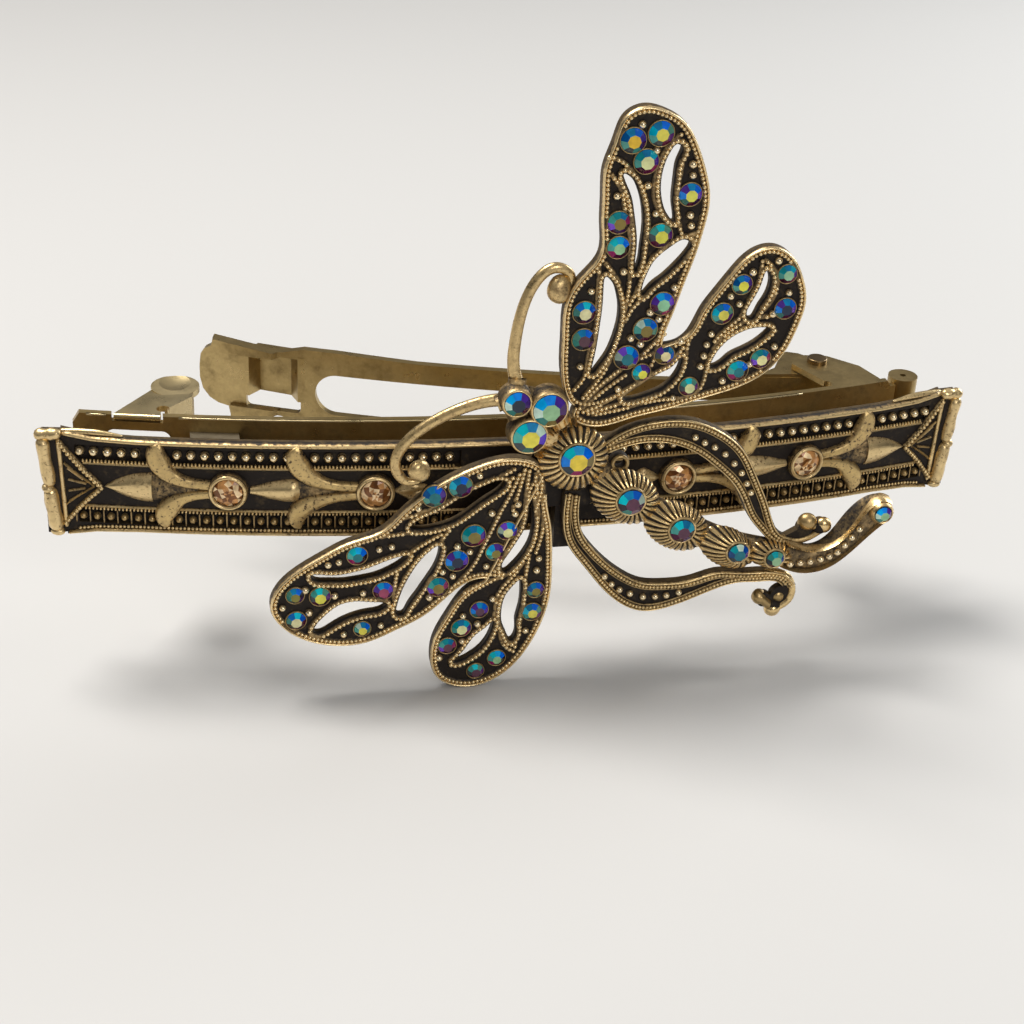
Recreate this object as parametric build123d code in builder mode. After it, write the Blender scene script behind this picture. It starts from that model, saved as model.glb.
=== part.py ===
from build123d import *
import os
from math import sin, cos, radians, sqrt, pi, hypot

os.makedirs("parts", exist_ok=True)

# ----------------------------------------------------------------------------
# Driving dimensions, millimetres.
# X runs along the clip, Z is up as worn, the decorated front faces -Y.
# The origin is the middle of the hair channel of the closed clip.
# ----------------------------------------------------------------------------
bow_r = 175.6          # bow radius of the plate's front face
y_crest = -6.6         # front face of the plate at mid length
yc = y_crest + bow_r   # centre of every bow arc

plate_half_len = 42.0
plate_half_h = 4.65
flare_half_h = 5.3      # the long edges rise to this at the ends
plate_t = 1.0
end_block_w = 2.6
end_block_half_h = 5.1

strip_gap = 3.7        # plate front to strip front
strip_t = 0.7
strip_half_h = 5.3
ear_t = 0.6

pin_x, pin_y = 31.9, 6.3
pin_r = 0.6
pin_head_r = 1.0
pin_head_h = 0.5
run_gap = 0.05

arm_t = 0.8
arm_half_h = 4.25
arm_offset = 8.4       # plate front to the closed arm's front
arm_tip = -30.3
open_deg = 15.0        # how far the arm stands open at rest
slot_half_h = 2.2

wing_y = -9.8          # front face of the wings
wing_t = 0.8
body_t = 1.7

r_plate_f, r_plate_b = bow_r, bow_r - plate_t
r_strip_f = bow_r - strip_gap
r_strip_b = r_strip_f - strip_t
r_strip_m = r_strip_f - strip_t / 2
r_arm_f = bow_r - arm_offset
r_arm_b = r_arm_f - arm_t


def bow(r, x):
    """Point at station x on the bow arc of radius r."""
    return (x, yc - sqrt(r * r - x * x))


def bow3(r, x0, x1):
    """Three points for an arc between two stations."""
    return bow(r, x0), bow(r, (x0 + x1) / 2), bow(r, x1)


# ----------------------------------------------------------------------------
# Base strip: bowed bar, catch window, long window, hinge ears, rolled end
# ----------------------------------------------------------------------------
strip_x0, strip_x1 = -41.0, 38.5
curl_c = (39.75, bow(r_strip_m, 38.5)[1] + 1.0)
curl_r, curl_ri = 1.45, 0.3

ear_pts = [(31.6, bow(r_strip_m, 31.6)[1]), (31.1, 1.9), (29.2, 6.1), (29.9, 7.5), (31.2, 8.0), (33.4, 7.6), (35.9, 5.0), (36.9, 2.0), (36.9, bow(r_strip_m, 36.9)[1])]

ear_bar_r = 0.3
catch_x0, catch_x1 = -37.4, -33.0
catch_mid = (catch_x0 + catch_x1) / 2
catch_slope = catch_mid / sqrt(r_strip_m**2 - catch_mid**2)
catch_dir = (cos(-0.0) / sqrt(1 + catch_slope**2), catch_slope / sqrt(1 + catch_slope**2), 0)
catch_y = bow(r_strip_m, catch_mid)[1]
catch_z = strip_half_h - ear_bar_r

with BuildPart() as base_strip:
    with BuildSketch(Plane.XY.offset(-strip_half_h)):
        with BuildLine():
            ThreePointArc(*bow3(r_strip_f, strip_x0, strip_x1))
            Line(bow(r_strip_f, strip_x1), bow(r_strip_b, strip_x1))
            ThreePointArc(*bow3(r_strip_b, strip_x1, strip_x0))
            Line(bow(r_strip_b, strip_x0), bow(r_strip_f, strip_x0))
        make_face()
    extrude(amount=2 * strip_half_h)
    # slanted corners at the free end and a neck before the rolled end
    with BuildSketch(Plane.XZ.offset(-30)):
        for s in (1, -1):
            with BuildLine():
                Polyline((-41.5, s * 3.4), (-40.2, s * 5.6), (-41.5, s * 5.6), (-41.5, s * 3.4))
            make_face()
            with BuildLine():
                Polyline((37.3, s * 5.6), (37.9, s * 4.7), (39.5, s * 4.7), (39.5, s * 5.6), (37.3, s * 5.6))
            make_face()
    extrude(amount=60, mode=Mode.SUBTRACT)
    # rolled end
    with BuildSketch(Plane.XY.offset(-(strip_half_h - 0.2))):
        with Locations(curl_c):
            Circle(curl_r)
            Circle(curl_ri, mode=Mode.SUBTRACT)
    extrude(amount=2 * (strip_half_h - 0.2))
    # catch window and long window
    with BuildSketch(Plane.XZ.offset(-30)):
        with Locations((-35.2, 0)):
            RectangleRounded(5.8, 7.6, 0.8)
        with Locations((19.3, 0)):
            RectangleRounded(15.4, 5.6, 1.2)
    extrude(amount=60, mode=Mode.SUBTRACT)
    # notches that receive the catch ears' roots
    with BuildSketch(Plane.XZ.offset(-30)):
        for s in (1, -1):
            with Locations((catch_mid, s * (strip_half_h - 0.325 + 0.5))):
                Rectangle(catch_x1 - catch_x0 + 0.16, 1.65)
    extrude(amount=60, mode=Mode.SUBTRACT)
    # hinge ears bent back from both long edges
    for z0 in (strip_half_h - ear_t, -strip_half_h):
        with BuildSketch(Plane.XY.offset(z0)):
            with BuildLine():
                Polyline(*ear_pts, close=True)
            make_face()
            with Locations((pin_x, pin_y)):
                Circle(pin_r + 0.02, mode=Mode.SUBTRACT)
            with Locations((31.15, 1.35)):
                Circle(0.5, mode=Mode.SUBTRACT)
        extrude(amount=ear_t)
base_strip.part.label = "base_strip"
export_step(base_strip.part, "parts/base_strip.step")

# ----------------------------------------------------------------------------
# Hinge pin: headed rivet along Z
# ----------------------------------------------------------------------------
with BuildPart() as hinge_pin:
    with BuildSketch(Plane.XY.offset(-strip_half_h)):
        with Locations((pin_x, pin_y)):
            Circle(pin_r)
    extrude(amount=2 * strip_half_h)
    for z0 in (strip_half_h, -strip_half_h - pin_head_h):
        with BuildSketch(Plane.XY.offset(z0)):
            with Locations((pin_x, pin_y)):
                Circle(pin_head_r)
        extrude(amount=pin_head_h)
    fillet(hinge_pin.edges().filter_by(GeomType.CIRCLE).group_by(Axis.Z)[-1], 0.15)
    fillet(hinge_pin.edges().filter_by(GeomType.CIRCLE).group_by(Axis.Z)[0], 0.15)
hinge_pin.part.label = "hinge_pin"
export_step(hinge_pin.part, "parts/hinge_pin.step")

# ----------------------------------------------------------------------------
# Clamp arm: drawn in its closed place about the pin, stood open by open_deg
# ----------------------------------------------------------------------------
ca, sa = cos(radians(open_deg)), sin(radians(open_deg))


def arm_xy(z0):
    """Plane across the pin axis, turned with the open arm."""
    return Plane(origin=(pin_x, pin_y, z0), x_dir=(ca, -sa, 0), z_dir=(0, 0, 1))


arm_xz = Plane(origin=(pin_x, pin_y, 0), x_dir=(ca, -sa, 0), z_dir=(-sa, -ca, 0))


def loc(p):
    return (p[0] - pin_x, p[1] - pin_y)


arm_x1 = 33.4
tray_x0, tray_x1 = -25.4, -19.7
tray_drop = 1.5
lug_z = strip_half_h - ear_t - 0.1

with BuildPart() as clamp_arm:
    with BuildSketch(arm_xy(-arm_half_h)):
        with BuildLine():
            ThreePointArc(*[loc(p) for p in bow3(r_arm_f, arm_tip, arm_x1)])
            Line(loc(bow(r_arm_f, arm_x1)), loc(bow(r_arm_b, arm_x1)))
            ThreePointArc(*[loc(p) for p in bow3(r_arm_b, arm_x1, arm_tip)])
            Line(loc(bow(r_arm_b, arm_tip)), loc(bow(r_arm_f, arm_tip)))
        make_face()
    extrude(amount=2 * arm_half_h)
    # pressed window and long slot
    with BuildSketch(arm_xz.offset(-30)):
        with Locations(((tray_x0 + tray_x1) / 2 - pin_x, 0)):
            RectangleRounded(tray_x1 - tray_x0, 6.0, 0.5)
        with Locations((2.6 - pin_x, -0.5)):
            SlotOverall(41.6, 2 * slot_half_h)
    extrude(amount=60, mode=Mode.SUBTRACT)
    # pressed tray that closes the upper part of the window, sunk away from the hair
    yb = bow(r_arm_f, tray_x0)[1] - pin_y
    ye = bow(r_arm_f, tray_x1)[1] - pin_y
    a0, a1 = tray_x0 - pin_x, tray_x1 - pin_x
    with BuildSketch(arm_xy(-1.7)):
        with BuildLine():
            Polyline(
                (a0 - 0.4, yb + 0.08), (a0 + 0.3, yb - 0.05), (a0 + 1.2, yb + tray_drop), (a1 - 1.2, ye + tray_drop), (a1 - 0.3, ye - 0.05), (a1 + 0.4, ye - 0.05),
                (a1 + 0.4, ye + 0.6), (a1 - 0.1, ye + 0.6), (a1 - 0.9, ye + tray_drop + 0.7), (a0 + 0.9, yb + tray_drop + 0.7), (a0 + 0.1, yb + 0.7), (a0 - 0.4, yb + 0.7), close=True)
        make_face()
    extrude(amount=4.9)
    # hems folded over on the hair side along both edges of the latch end
    for z0, xl in ((2.85, -28.7), (-arm_half_h, -27.0)):
        with BuildSketch(arm_xy(z0)):
            with BuildLine():
                ThreePointArc(*[loc(p) for p in bow3(r_arm_f + 0.55, xl, -22.6)])
                Line(loc(bow(r_arm_f + 0.55, -22.6)), loc(bow(r_arm_f - 0.35, -21.9)))
                ThreePointArc(*[loc(p) for p in bow3(r_arm_f - 0.35, -21.9, xl - 0.2)])
                Line(loc(bow(r_arm_f - 0.35, xl - 0.2)), loc(bow(r_arm_f + 0.55, xl)))
            make_face()
        extrude(amount=arm_half_h - 2.85)
    # outline: narrow rounded tongue, step up to the hems, shallow dip, waisted rails
    with BuildSketch(arm_xz.offset(-30)):
        for pts in (
            [(-31.5, 5.2), (-31.5, 1.0), (-30.3, 1.0), (-30.15, 2.2), (-29.7, 2.85), (-29.0, 3.3), (-28.8, 4.25), (-28.3, 4.2), (-22.4, 3.5), (-21.7, 3.55), (-19.4, 4.15), (-16.0, 4.15), (-8.0, 3.85), (20.0, 3.85), (24.5, 4.3), (24.5, 5.2)],
            [(-31.5, -5.2), (-31.5, -0.4), (-30.3, -0.4), (-30.0, -1.6), (-29.3, -2.5), (-28.4, -3.0), (-27.3, -3.2), (-27.1, -4.2), (-22.4, -3.5), (-21.7, -3.55), (-19.4, -4.15), (-16.0, -4.2), (20.0, -4.2), (24.5, -4.3), (24.5, -5.2)],
        ):
            with BuildLine():
                Polyline(*[(x - pin_x, z) for x, z in pts], close=True)
            make_face()
    extrude(amount=60, mode=Mode.SUBTRACT)
    # hinge lugs
    for z0 in (lug_z - 0.65, -lug_z):
        with BuildSketch(arm_xy(z0)):
            with BuildLine():
                Polyline(loc(bow(r_arm_f, 26.0)), loc(bow(r_arm_f, arm_x1)), (2.0, -1.2), (1.9, 0.9), (0.6, 2.0), (-1.6, 3.4), (-2.8, 3.6), (-3.4, 2.6), (-4.2, -0.6), close=True)
            make_face()
            Circle(pin_r + run_gap, mode=Mode.SUBTRACT)
        extrude(amount=0.65)
clamp_arm.part.label = "clamp_arm"
export_step(clamp_arm.part, "parts/clamp_arm.step")

# ----------------------------------------------------------------------------
# Catch ears: root bar, leaning ear plate, thumb pad, bent side flange
# ----------------------------------------------------------------------------
root_c = Vector(catch_mid, catch_y, catch_z)
ear_out = [(-37.25, catch_y + 0.42), (-33.75, 6.1), (-33.2, 6.9), (-29.9, 6.9), (-30.1, 5.4), (-30.4, 4.8), (-32.2, 2.6), (-33.0, 2.1), (-33.15, catch_y - 0.4)]
pad_c = (-31.55, 6.5)
flange_z = 2.95

with BuildPart() as upper_catch_ear:
    # root bar along the bend
    with BuildSketch(Plane(origin=root_c, x_dir=(0, 0, 1), z_dir=catch_dir).offset(-(catch_x1 - catch_x0) / 2 + 0.1)):
        Circle(ear_bar_r)
    extrude(amount=(catch_x1 - catch_x0) - 0.2)
    # leaning ear
    with BuildSketch(Plane.XY.offset(strip_half_h - ear_t)):
        with BuildLine():
            Polyline(*ear_out, close=True)
        make_face()
    extrude(amount=ear_t)
    # thumb pad, tipped outwards
    with BuildSketch(Plane(origin=(pad_c[0], pad_c[1] - 1.6, strip_half_h - ear_t), x_dir=(1, 0, 0), z_dir=(0, -sin(radians(6)), cos(radians(6))))):
        with Locations((0, 1.6)):
            Ellipse(2.25, 1.85)
    extrude(amount=ear_t)
    # dish in the pad
    with Locations((pad_c[0], pad_c[1] - 0.1, strip_half_h + 0.16 + 5.85)):
        Sphere(6.0, mode=Mode.SUBTRACT)
    # side flange that leads the tongue in
    with BuildSketch(Plane.XY.offset(flange_z)):
        with BuildLine():
            Polyline((-32.75, 2.5), (-32.35, 2.05), (-30.1, 4.25), (-29.9, 5.4), (-30.5, 5.4), (-30.6, 4.55), close=True)
        make_face()
    extrude(amount=strip_half_h - flange_z)
    # relief hole at the foot of the bend
    with BuildSketch(Plane.XY.offset(flange_z - 0.5)):
        with Locations((-32.85, 1.95)):
            Circle(0.6)
    extrude(amount=4, mode=Mode.SUBTRACT)
upper_catch_ear.part.label = "upper_catch_ear"
export_step(upper_catch_ear.part, "parts/upper_catch_ear.step")

with BuildPart() as lower_catch_ear:
    add(mirror(upper_catch_ear.part, about=Plane.XY, mode=Mode.PRIVATE))
lower_catch_ear.part.label = "lower_catch_ear"
export_step(lower_catch_ear.part, "parts/lower_catch_ear.step")

# ----------------------------------------------------------------------------
# Front plate: bowed plate with rims, recessed fields, stone cups, end blocks
# ----------------------------------------------------------------------------
stone_x = [-27.46, -14.28, 14.28, 27.46]
stone_r = 1.42
cup_r = 1.78
cup_h = 0.7

with BuildPart() as front_plate:
    with BuildSketch(Plane.XY.offset(-flare_half_h)):
        with BuildLine():
            ThreePointArc(*bow3(r_plate_f, -plate_half_len, plate_half_len))
            Line(bow(r_plate_f, plate_half_len), bow(r_plate_b, plate_half_len))
            ThreePointArc(*bow3(r_plate_b, plate_half_len, -plate_half_len))
            Line(bow(r_plate_b, -plate_half_len), bow(r_plate_f, -plate_half_len))
        make_face()
    extrude(amount=2 * flare_half_h)
    # long edges straight in the middle, flared at both ends
    with BuildSketch(Plane.XZ.offset(-30)):
        for t in (1, -1):
            with BuildLine():
                Polyline(*[(x, t * z) for x, z in ((-43.0, 5.4), (-42.0, 5.3), (-39.3, 4.8), (-35.5, plate_half_h), (35.5, plate_half_h), (39.3, 4.8), (42.0, 5.3), (43.0, 5.4), (43.0, 6.5), (-43.0, 6.5))], close=True)
            make_face()
    extrude(amount=60, mode=Mode.SUBTRACT)
    # recessed bead fields above and below the middle band
    for z0 in (2.35, -3.95):
        for x0, x1 in ((-40.9, -6.5), (8.5, 40.9)):
            with BuildSketch(Plane.XY.offset(z0)):
                with BuildLine():
                    ThreePointArc(*bow3(r_plate_f + 2.0, x0, x1))
                    Line(bow(r_plate_f + 2.0, x1), bow(r_plate_f - 0.45, x1))
                    ThreePointArc(*bow3(r_plate_f - 0.45, x1, x0))
                    Line(bow(r_plate_f - 0.45, x0), bow(r_plate_f + 2.0, x0))
                make_face()
            extrude(amount=1.6, mode=Mode.SUBTRACT)
    # rolled end blocks
    for s in (1, -1):
        xa, xb = s * (plate_half_len - 0.1), s * (plate_half_len + 1.7)
        with BuildSketch(Plane.XY.offset(-end_block_half_h)):
            with BuildLine():
                Polyline(bow(r_plate_f - 0.1, xa), bow(r_plate_f + 0.35, xa + s * 0.7), bow(r_plate_f + 0.3, xb), bow(r_plate_b + 0.2, xb), bow(r_plate_b, xa), close=True)
            make_face()
        extrude(amount=2 * end_block_half_h)
    # stone cups
    for x in stone_x:
        px, py = bow(r_plate_f, x)
        k = x / sqrt(r_plate_f**2 - x * x)
        n = sqrt(1 + k * k)
        with BuildSketch(Plane(origin=(px, py, 0), x_dir=(1 / n, k / n, 0), z_dir=(k / n, -1 / n, 0)).offset(-0.6)):
            Circle(cup_r)
        extrude(amount=0.6 + cup_h)
        with BuildSketch(Plane(origin=(px, py, 0), x_dir=(1 / n, k / n, 0), z_dir=(k / n, -1 / n, 0)).offset(0.1)):
            Circle(stone_r + 0.03)
        extrude(amount=1.0, mode=Mode.SUBTRACT)
front_plate.part.label = "front_plate"
export_step(front_plate.part, "parts/front_plate.step")

# ----------------------------------------------------------------------------
# Solder joints between the plate's back and the strip's front
# ----------------------------------------------------------------------------
with BuildPart() as solder_joints:
    for x0, x1, z0, z1 in ((-30.6, -26.2, 0.4, 3.9), (-30.2, -26.6, -4.2, -0.6), (9.0, 11.0, -3.6, 2.6), (28.2, 31.2, -3.6, 2.6)):
        with BuildSketch(Plane.XY.offset(z0)):
            with BuildLine():
                ThreePointArc(*bow3(r_plate_b, x0, x1))
                Line(bow(r_plate_b, x1), bow(r_strip_f, x1))
                ThreePointArc(*bow3(r_strip_f, x1, x0))
                Line(bow(r_strip_f, x0), bow(r_plate_b, x0))
            make_face()
        extrude(amount=z1 - z0)
solder_joints.part.label = "solder_joints"
export_step(solder_joints.part, "parts/solder_joints.step")

# ----------------------------------------------------------------------------
# Mount bracket: pad behind the dragonfly and a prong round the plate's edge
# ----------------------------------------------------------------------------
with BuildPart() as mount_bracket:
    with BuildSketch(Plane.XZ.offset(-y_crest)):
        with Locations((2.6, 2.0)):
            RectangleRounded(6.4, 6.0, 1.0)
        with Locations((2.75, -2.9)):
            Rectangle(1.5, 4.6)
    extrude(amount=wing_y * -1 - wing_t + y_crest)
    with BuildSketch(Plane.XY.offset(-5.35)):
        with Locations((2.75, y_crest - 0.35)):
            Rectangle(1.5, 4.1)
    extrude(amount=0.55)
    with BuildSketch(Plane.XZ.offset(-(y_crest + 1.2))):
        with Locations((2.75, -4.3)):
            Rectangle(1.5, 2.1)
    extrude(amount=-0.5)
mount_bracket.part.label = "mount_bracket"
export_step(mount_bracket.part, "parts/mount_bracket.step")

# ----------------------------------------------------------------------------
# Champagne stones: pavilion cut discs in the plate's cups
# ----------------------------------------------------------------------------
with BuildPart() as champagne_stones:
    for x in stone_x:
        px, py = bow(r_plate_f, x)
        k = x / sqrt(r_plate_f**2 - x * x)
        n = sqrt(1 + k * k)
        with BuildSketch(Plane(origin=(px, py, 0), x_dir=(1 / n, k / n, 0), z_dir=(k / n, -1 / n, 0)).offset(0.1)):
            Circle(stone_r)
        extrude(amount=0.5)
        with BuildSketch(Plane(origin=(px, py, 0), x_dir=(1 / n, k / n, 0), z_dir=(k / n, -1 / n, 0)).offset(0.6)):
            RegularPolygon(stone_r, 8)
        extrude(amount=0.35, taper=38)
champagne_stones.part.label = "champagne_stones"
export_step(champagne_stones.part, "parts/champagne_stones.step")

# ----------------------------------------------------------------------------
# Dragonfly wings: outlines, pierced openings and stone seats, in the XZ plane
# ----------------------------------------------------------------------------
upper_fore = [(2.76, 9.68), (1.45, 13.07), (1.32, 16.52), (1.4, 19.42), (2.41, 21.61), (4.1, 23.85), (4.07, 26.64), (3.98, 29.04), (3.96, 31.58), (4.65, 33.89), (5.5, 36.09), (7.05, 36.87), (8.79, 36.56), (10.61, 35.51), (11.94, 33.52), (12.98, 30.97), (13.47, 28.83), (13.22, 26.05), (12.74, 23.78), (11.86, 20.75), (11.12, 18.04), (10.63, 16.44), (10.2, 13.6), (7.0, 10.2)]
upper_hind = [(10.4, 15.2), (12.92, 16.45), (13.74, 18.33), (14.92, 20.18), (16.34, 22.19), (17.98, 23.81), (19.75, 24.22), (21.51, 23.34), (22.8, 21.24), (23.34, 19.23), (22.86, 16.46), (21.85, 13.96), (20.2, 12.06), (17.8, 10.77), (14.6, 9.82), (11.32, 8.88), (8.03, 8.14), (4.0, 7.64), (2.7, 8.6), (3.2, 10.0)]
lower_fore = [(-2.98, 4.68), (-5.78, 4.03), (-8.46, 2.76), (-10.78, 1.17), (-12.47, -0.37), (-14.15, -2.0), (-16.96, -2.99), (-19.66, -4.37), (-22.29, -6.08), (-23.93, -7.98), (-24.31, -9.44), (-23.33, -11.57), (-20.96, -13.3), (-17.9, -14.08), (-15.29, -13.85), (-12.68, -12.73), (-10.45, -11.58), (-8.7, -10.18), (-6.61, -8.3), (-4.8, -7.7), (-2.9, -7.9), (-0.9, -5.6), (0.1, -2.0), (0.3, 3.6)]
lower_hind = [(-4.5, -7.9), (-6.57, -9.24), (-8.0, -11.55), (-9.07, -13.79), (-9.37, -16.34), (-8.74, -18.33), (-6.87, -19.52), (-4.35, -19.51), (-1.88, -18.11), (-0.14, -15.86), (1.07, -13.24), (1.84, -9.86), (1.8, -6.04), (1.48, -2.29), (0.91, 0.99), (0.52, 3.4), (-0.6, 2.6), (-0.9, -3.4), (-2.6, -6.6)]
slots_upper = [
    [(5.76, 31.11), (6.28, 30.84), (6.89, 30.05), (7.37, 28.95), (7.71, 27.56), (7.84, 25.95), (7.76, 24.33), (7.6, 22.71), (7.41, 22.2), (7.31, 23.33), (7.33, 24.75), (7.12, 26.37), (6.79, 27.98), (6.32, 29.47)],
    [(10.13, 33.58), (10.64, 33.29), (10.39, 32.22), (10.21, 30.86), (10.18, 29.49), (10.27, 28.09), (10.44, 26.69), (9.83, 27.31), (9.31, 28.32), (9.04, 29.51), (9.02, 30.89), (9.24, 32.05), (9.69, 33.11)],
    [(11.63, 25.08), (12.2, 24.7), (11.85, 23.81), (10.87, 22.61), (9.86, 21.6), (8.83, 20.7), (8.19, 20.0), (8.14, 20.62), (8.43, 21.86), (8.84, 22.87), (9.65, 23.87), (10.67, 24.66)],
    [(4.85, 21.87), (5.49, 21.33), (5.97, 20.28), (6.27, 19.02), (6.28, 17.54), (6.0, 16.07), (5.5, 14.59), (4.82, 13.44), (4.26, 12.7), (4.36, 14.42), (4.54, 16.13), (4.66, 17.82), (4.73, 19.49), (4.69, 20.94)],
    [(12.4, 13.98), (12.3, 12.9), (11.68, 11.72), (10.73, 10.88), (9.53, 10.39), (8.11, 10.01), (7.29, 10.05), (8.24, 11.0), (9.4, 11.82), (10.58, 12.54), (11.75, 13.25)],
    [(19.34, 21.97), (19.76, 21.39), (19.84, 20.45), (19.55, 19.4), (18.96, 18.25), (18.44, 17.41), (17.99, 17.75), (18.1, 18.6), (18.59, 19.64), (18.98, 20.68), (19.15, 21.52)],
    [(20.38, 16.33), (19.97, 15.85), (19.12, 15.12), (18.04, 14.51), (16.86, 13.91), (15.71, 12.97), (15.2, 12.88), (15.32, 13.75), (15.93, 14.82), (16.87, 15.75), (18.04, 16.35), (19.26, 16.59)],
]
slots_lower = [
    [(-2.96, 2.24), (-3.46, 1.5), (-4.73, 0.6), (-6.2, -0.53), (-7.69, -1.54), (-9.19, -2.01), (-10.7, -2.16), (-11.6, -1.95), (-11.05, -1.33), (-9.45, -0.58), (-7.75, 0.42), (-6.07, 1.53), (-4.58, 2.17), (-3.51, 2.47)],
    [(-8.87, -3.99), (-8.98, -5.56), (-9.49, -6.78), (-10.22, -8.0), (-10.96, -9.22), (-11.7, -10.45), (-12.25, -11.2), (-12.6, -11.1), (-12.66, -10.12), (-12.25, -8.61), (-11.67, -7.26), (-10.93, -5.93), (-9.98, -4.74)],
    [(-11.72, -4.87), (-12.36, -5.58), (-13.43, -6.25), (-14.72, -6.79), (-16.24, -7.06), (-17.75, -7.21), (-19.25, -7.1), (-20.33, -6.82), (-20.58, -6.45), (-19.04, -6.41), (-17.32, -6.36), (-15.82, -6.04), (-14.31, -5.49), (-13.02, -5.03)],
    [(-13.63, -9.97), (-14.02, -10.4), (-15.33, -10.69), (-16.64, -10.97), (-17.94, -11.52), (-19.03, -12.21), (-19.9, -12.6), (-20.35, -12.5), (-20.23, -11.85), (-19.47, -10.89), (-18.6, -10.06), (-17.52, -9.5), (-16.21, -9.39), (-14.9, -9.57)],
    [(-0.58, 0.59), (-0.28, -0.9), (-0.23, -2.88), (-0.43, -4.12), (-1.13, -5.59), (-2.07, -6.79), (-2.7, -7.2), (-2.95, -6.75), (-2.58, -5.62), (-1.66, -4.04), (-0.96, -2.59), (-0.71, -1.12)],
    [(-3.49, -12.5), (-3.66, -13.67), (-4.07, -14.7), (-4.82, -15.7), (-5.59, -16.31), (-6.49, -16.77), (-7.12, -16.85), (-6.51, -15.96), (-5.76, -14.83), (-5.01, -13.83), (-4.14, -13.11)],
    [(-1.11, -8.14), (-0.96, -9.7), (-1.06, -11.25), (-1.32, -12.8), (-1.35, -14.38), (-1.67, -14.89), (-2.17, -14.05), (-2.69, -12.7), (-2.76, -11.12), (-2.48, -9.84), (-1.86, -8.86)],
]
# stones: x, z, radius
uf_stones = [(6.27, 33.95, 1.08), (8.63, 34.52, 1.08), (7.55, 32.12, 1.05), (11.67, 29.14, 1.0), (5.59, 26.78, 0.97), (5.72, 24.53, 0.97), (9.36, 25.52, 1.03), (3.15, 18.61, 1.0), (3.23, 16.06, 0.98), (10.11, 19.21, 1.03), (8.78, 16.8, 1.05), (7.27, 14.17, 1.08), (8.77, 12.65, 0.8), (10.73, 14.32, 0.86)]
uh_stones = [(17.23, 20.76, 0.88), (15.69, 18.07, 0.95), (21.27, 21.62, 0.85), (21.49, 18.34, 0.95), (19.74, 13.56, 0.9), (17.7, 12.46, 0.95), (13.26, 11.08, 0.85)]
lf_stones = [(-9.51, 1.24, 1.05), (-7.12, 2.07, 1.05), (-5.73, -3.09, 1.08), (-7.21, -5.64, 1.05), (-8.89, -8.32, 0.97), (-16.4, -4.49, 0.9), (-19.76, -8.6, 0.93), (-21.96, -11.02, 0.9), (-22.03, -8.33, 0.8), (-13.97, -8.38, 0.9), (-15.86, -12.37, 0.75), (-2.62, -2.77, 0.9), (-3.64, -4.93, 0.85)]
lh_stones = [(0.37, -9.31, 0.8), (0.17, -11.72, 0.9), (-6.53, -12.99, 0.9), (-4.89, -11.12, 0.82), (-7.8, -14.9, 0.82), (-3.01, -16.64, 0.82), (-4.99, -17.96, 0.78)]
seat_d = 0.45
stone_h = 0.75

with BuildPart() as upper_wings:
    with BuildSketch(Plane.XZ.offset(-wing_y - wing_t)):
        for outline in (upper_fore, upper_hind):
            with BuildLine():
                Spline(*outline, periodic=True)
            make_face()
    extrude(amount=wing_t)
    with BuildSketch(Plane.XZ.offset(-wing_y - wing_t - 1)):
        for s in slots_upper:
            with BuildLine():
                Spline(*s, periodic=True)
            make_face()
    extrude(amount=wing_t + 2, mode=Mode.SUBTRACT)
    with BuildSketch(Plane.XZ.offset(-wing_y - seat_d)):
        for x, z, r in uf_stones + uh_stones:
            with Locations((x, z)):
                Circle(r + 0.03)
    extrude(amount=seat_d + 1, mode=Mode.SUBTRACT)
upper_wings.part.label = "upper_wings"
export_step(upper_wings.part, "parts/upper_wings.step")

with BuildPart() as lower_wings:
    with BuildSketch(Plane.XZ.offset(-wing_y - wing_t)):
        for outline in (lower_fore, lower_hind):
            with BuildLine():
                Spline(*outline, periodic=True)
            make_face()
    extrude(amount=wing_t)
    with BuildSketch(Plane.XZ.offset(-wing_y - wing_t - 1)):
        for s in slots_lower:
            with BuildLine():
                Spline(*s, periodic=True)
            make_face()
    extrude(amount=wing_t + 2, mode=Mode.SUBTRACT)
    with BuildSketch(Plane.XZ.offset(-wing_y - seat_d)):
        for x, z, r in lf_stones + lh_stones:
            with Locations((x, z)):
                Circle(r + 0.03)
    extrude(amount=seat_d + 1, mode=Mode.SUBTRACT)
lower_wings.part.label = "lower_wings"
export_step(lower_wings.part, "parts/lower_wings.step")

# ----------------------------------------------------------------------------
# Wing stones: faceted discs standing in their seats
# ----------------------------------------------------------------------------
for name, stones in (("upper_forewing_stones", uf_stones), ("upper_hindwing_stones", uh_stones), ("lower_forewing_stones", lf_stones), ("lower_hindwing_stones", lh_stones)):
    with BuildPart() as wing_stones:
        with BuildSketch(Plane.XZ.offset(-wing_y - seat_d)):
            for x, z, r in stones:
                with Locations((x, z)):
                    Circle(r)
        extrude(amount=seat_d + 0.15)
        with BuildSketch(Plane.XZ.offset(-wing_y + 0.15)):
            for x, z, r in stones:
                with Locations((x, z)):
                    RegularPolygon(r, 8)
        extrude(amount=stone_h - 0.15 - 0.1, taper=35)
    wing_stones.part.label = name
    export_step(wing_stones.part, "parts/" + name + ".step")

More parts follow.
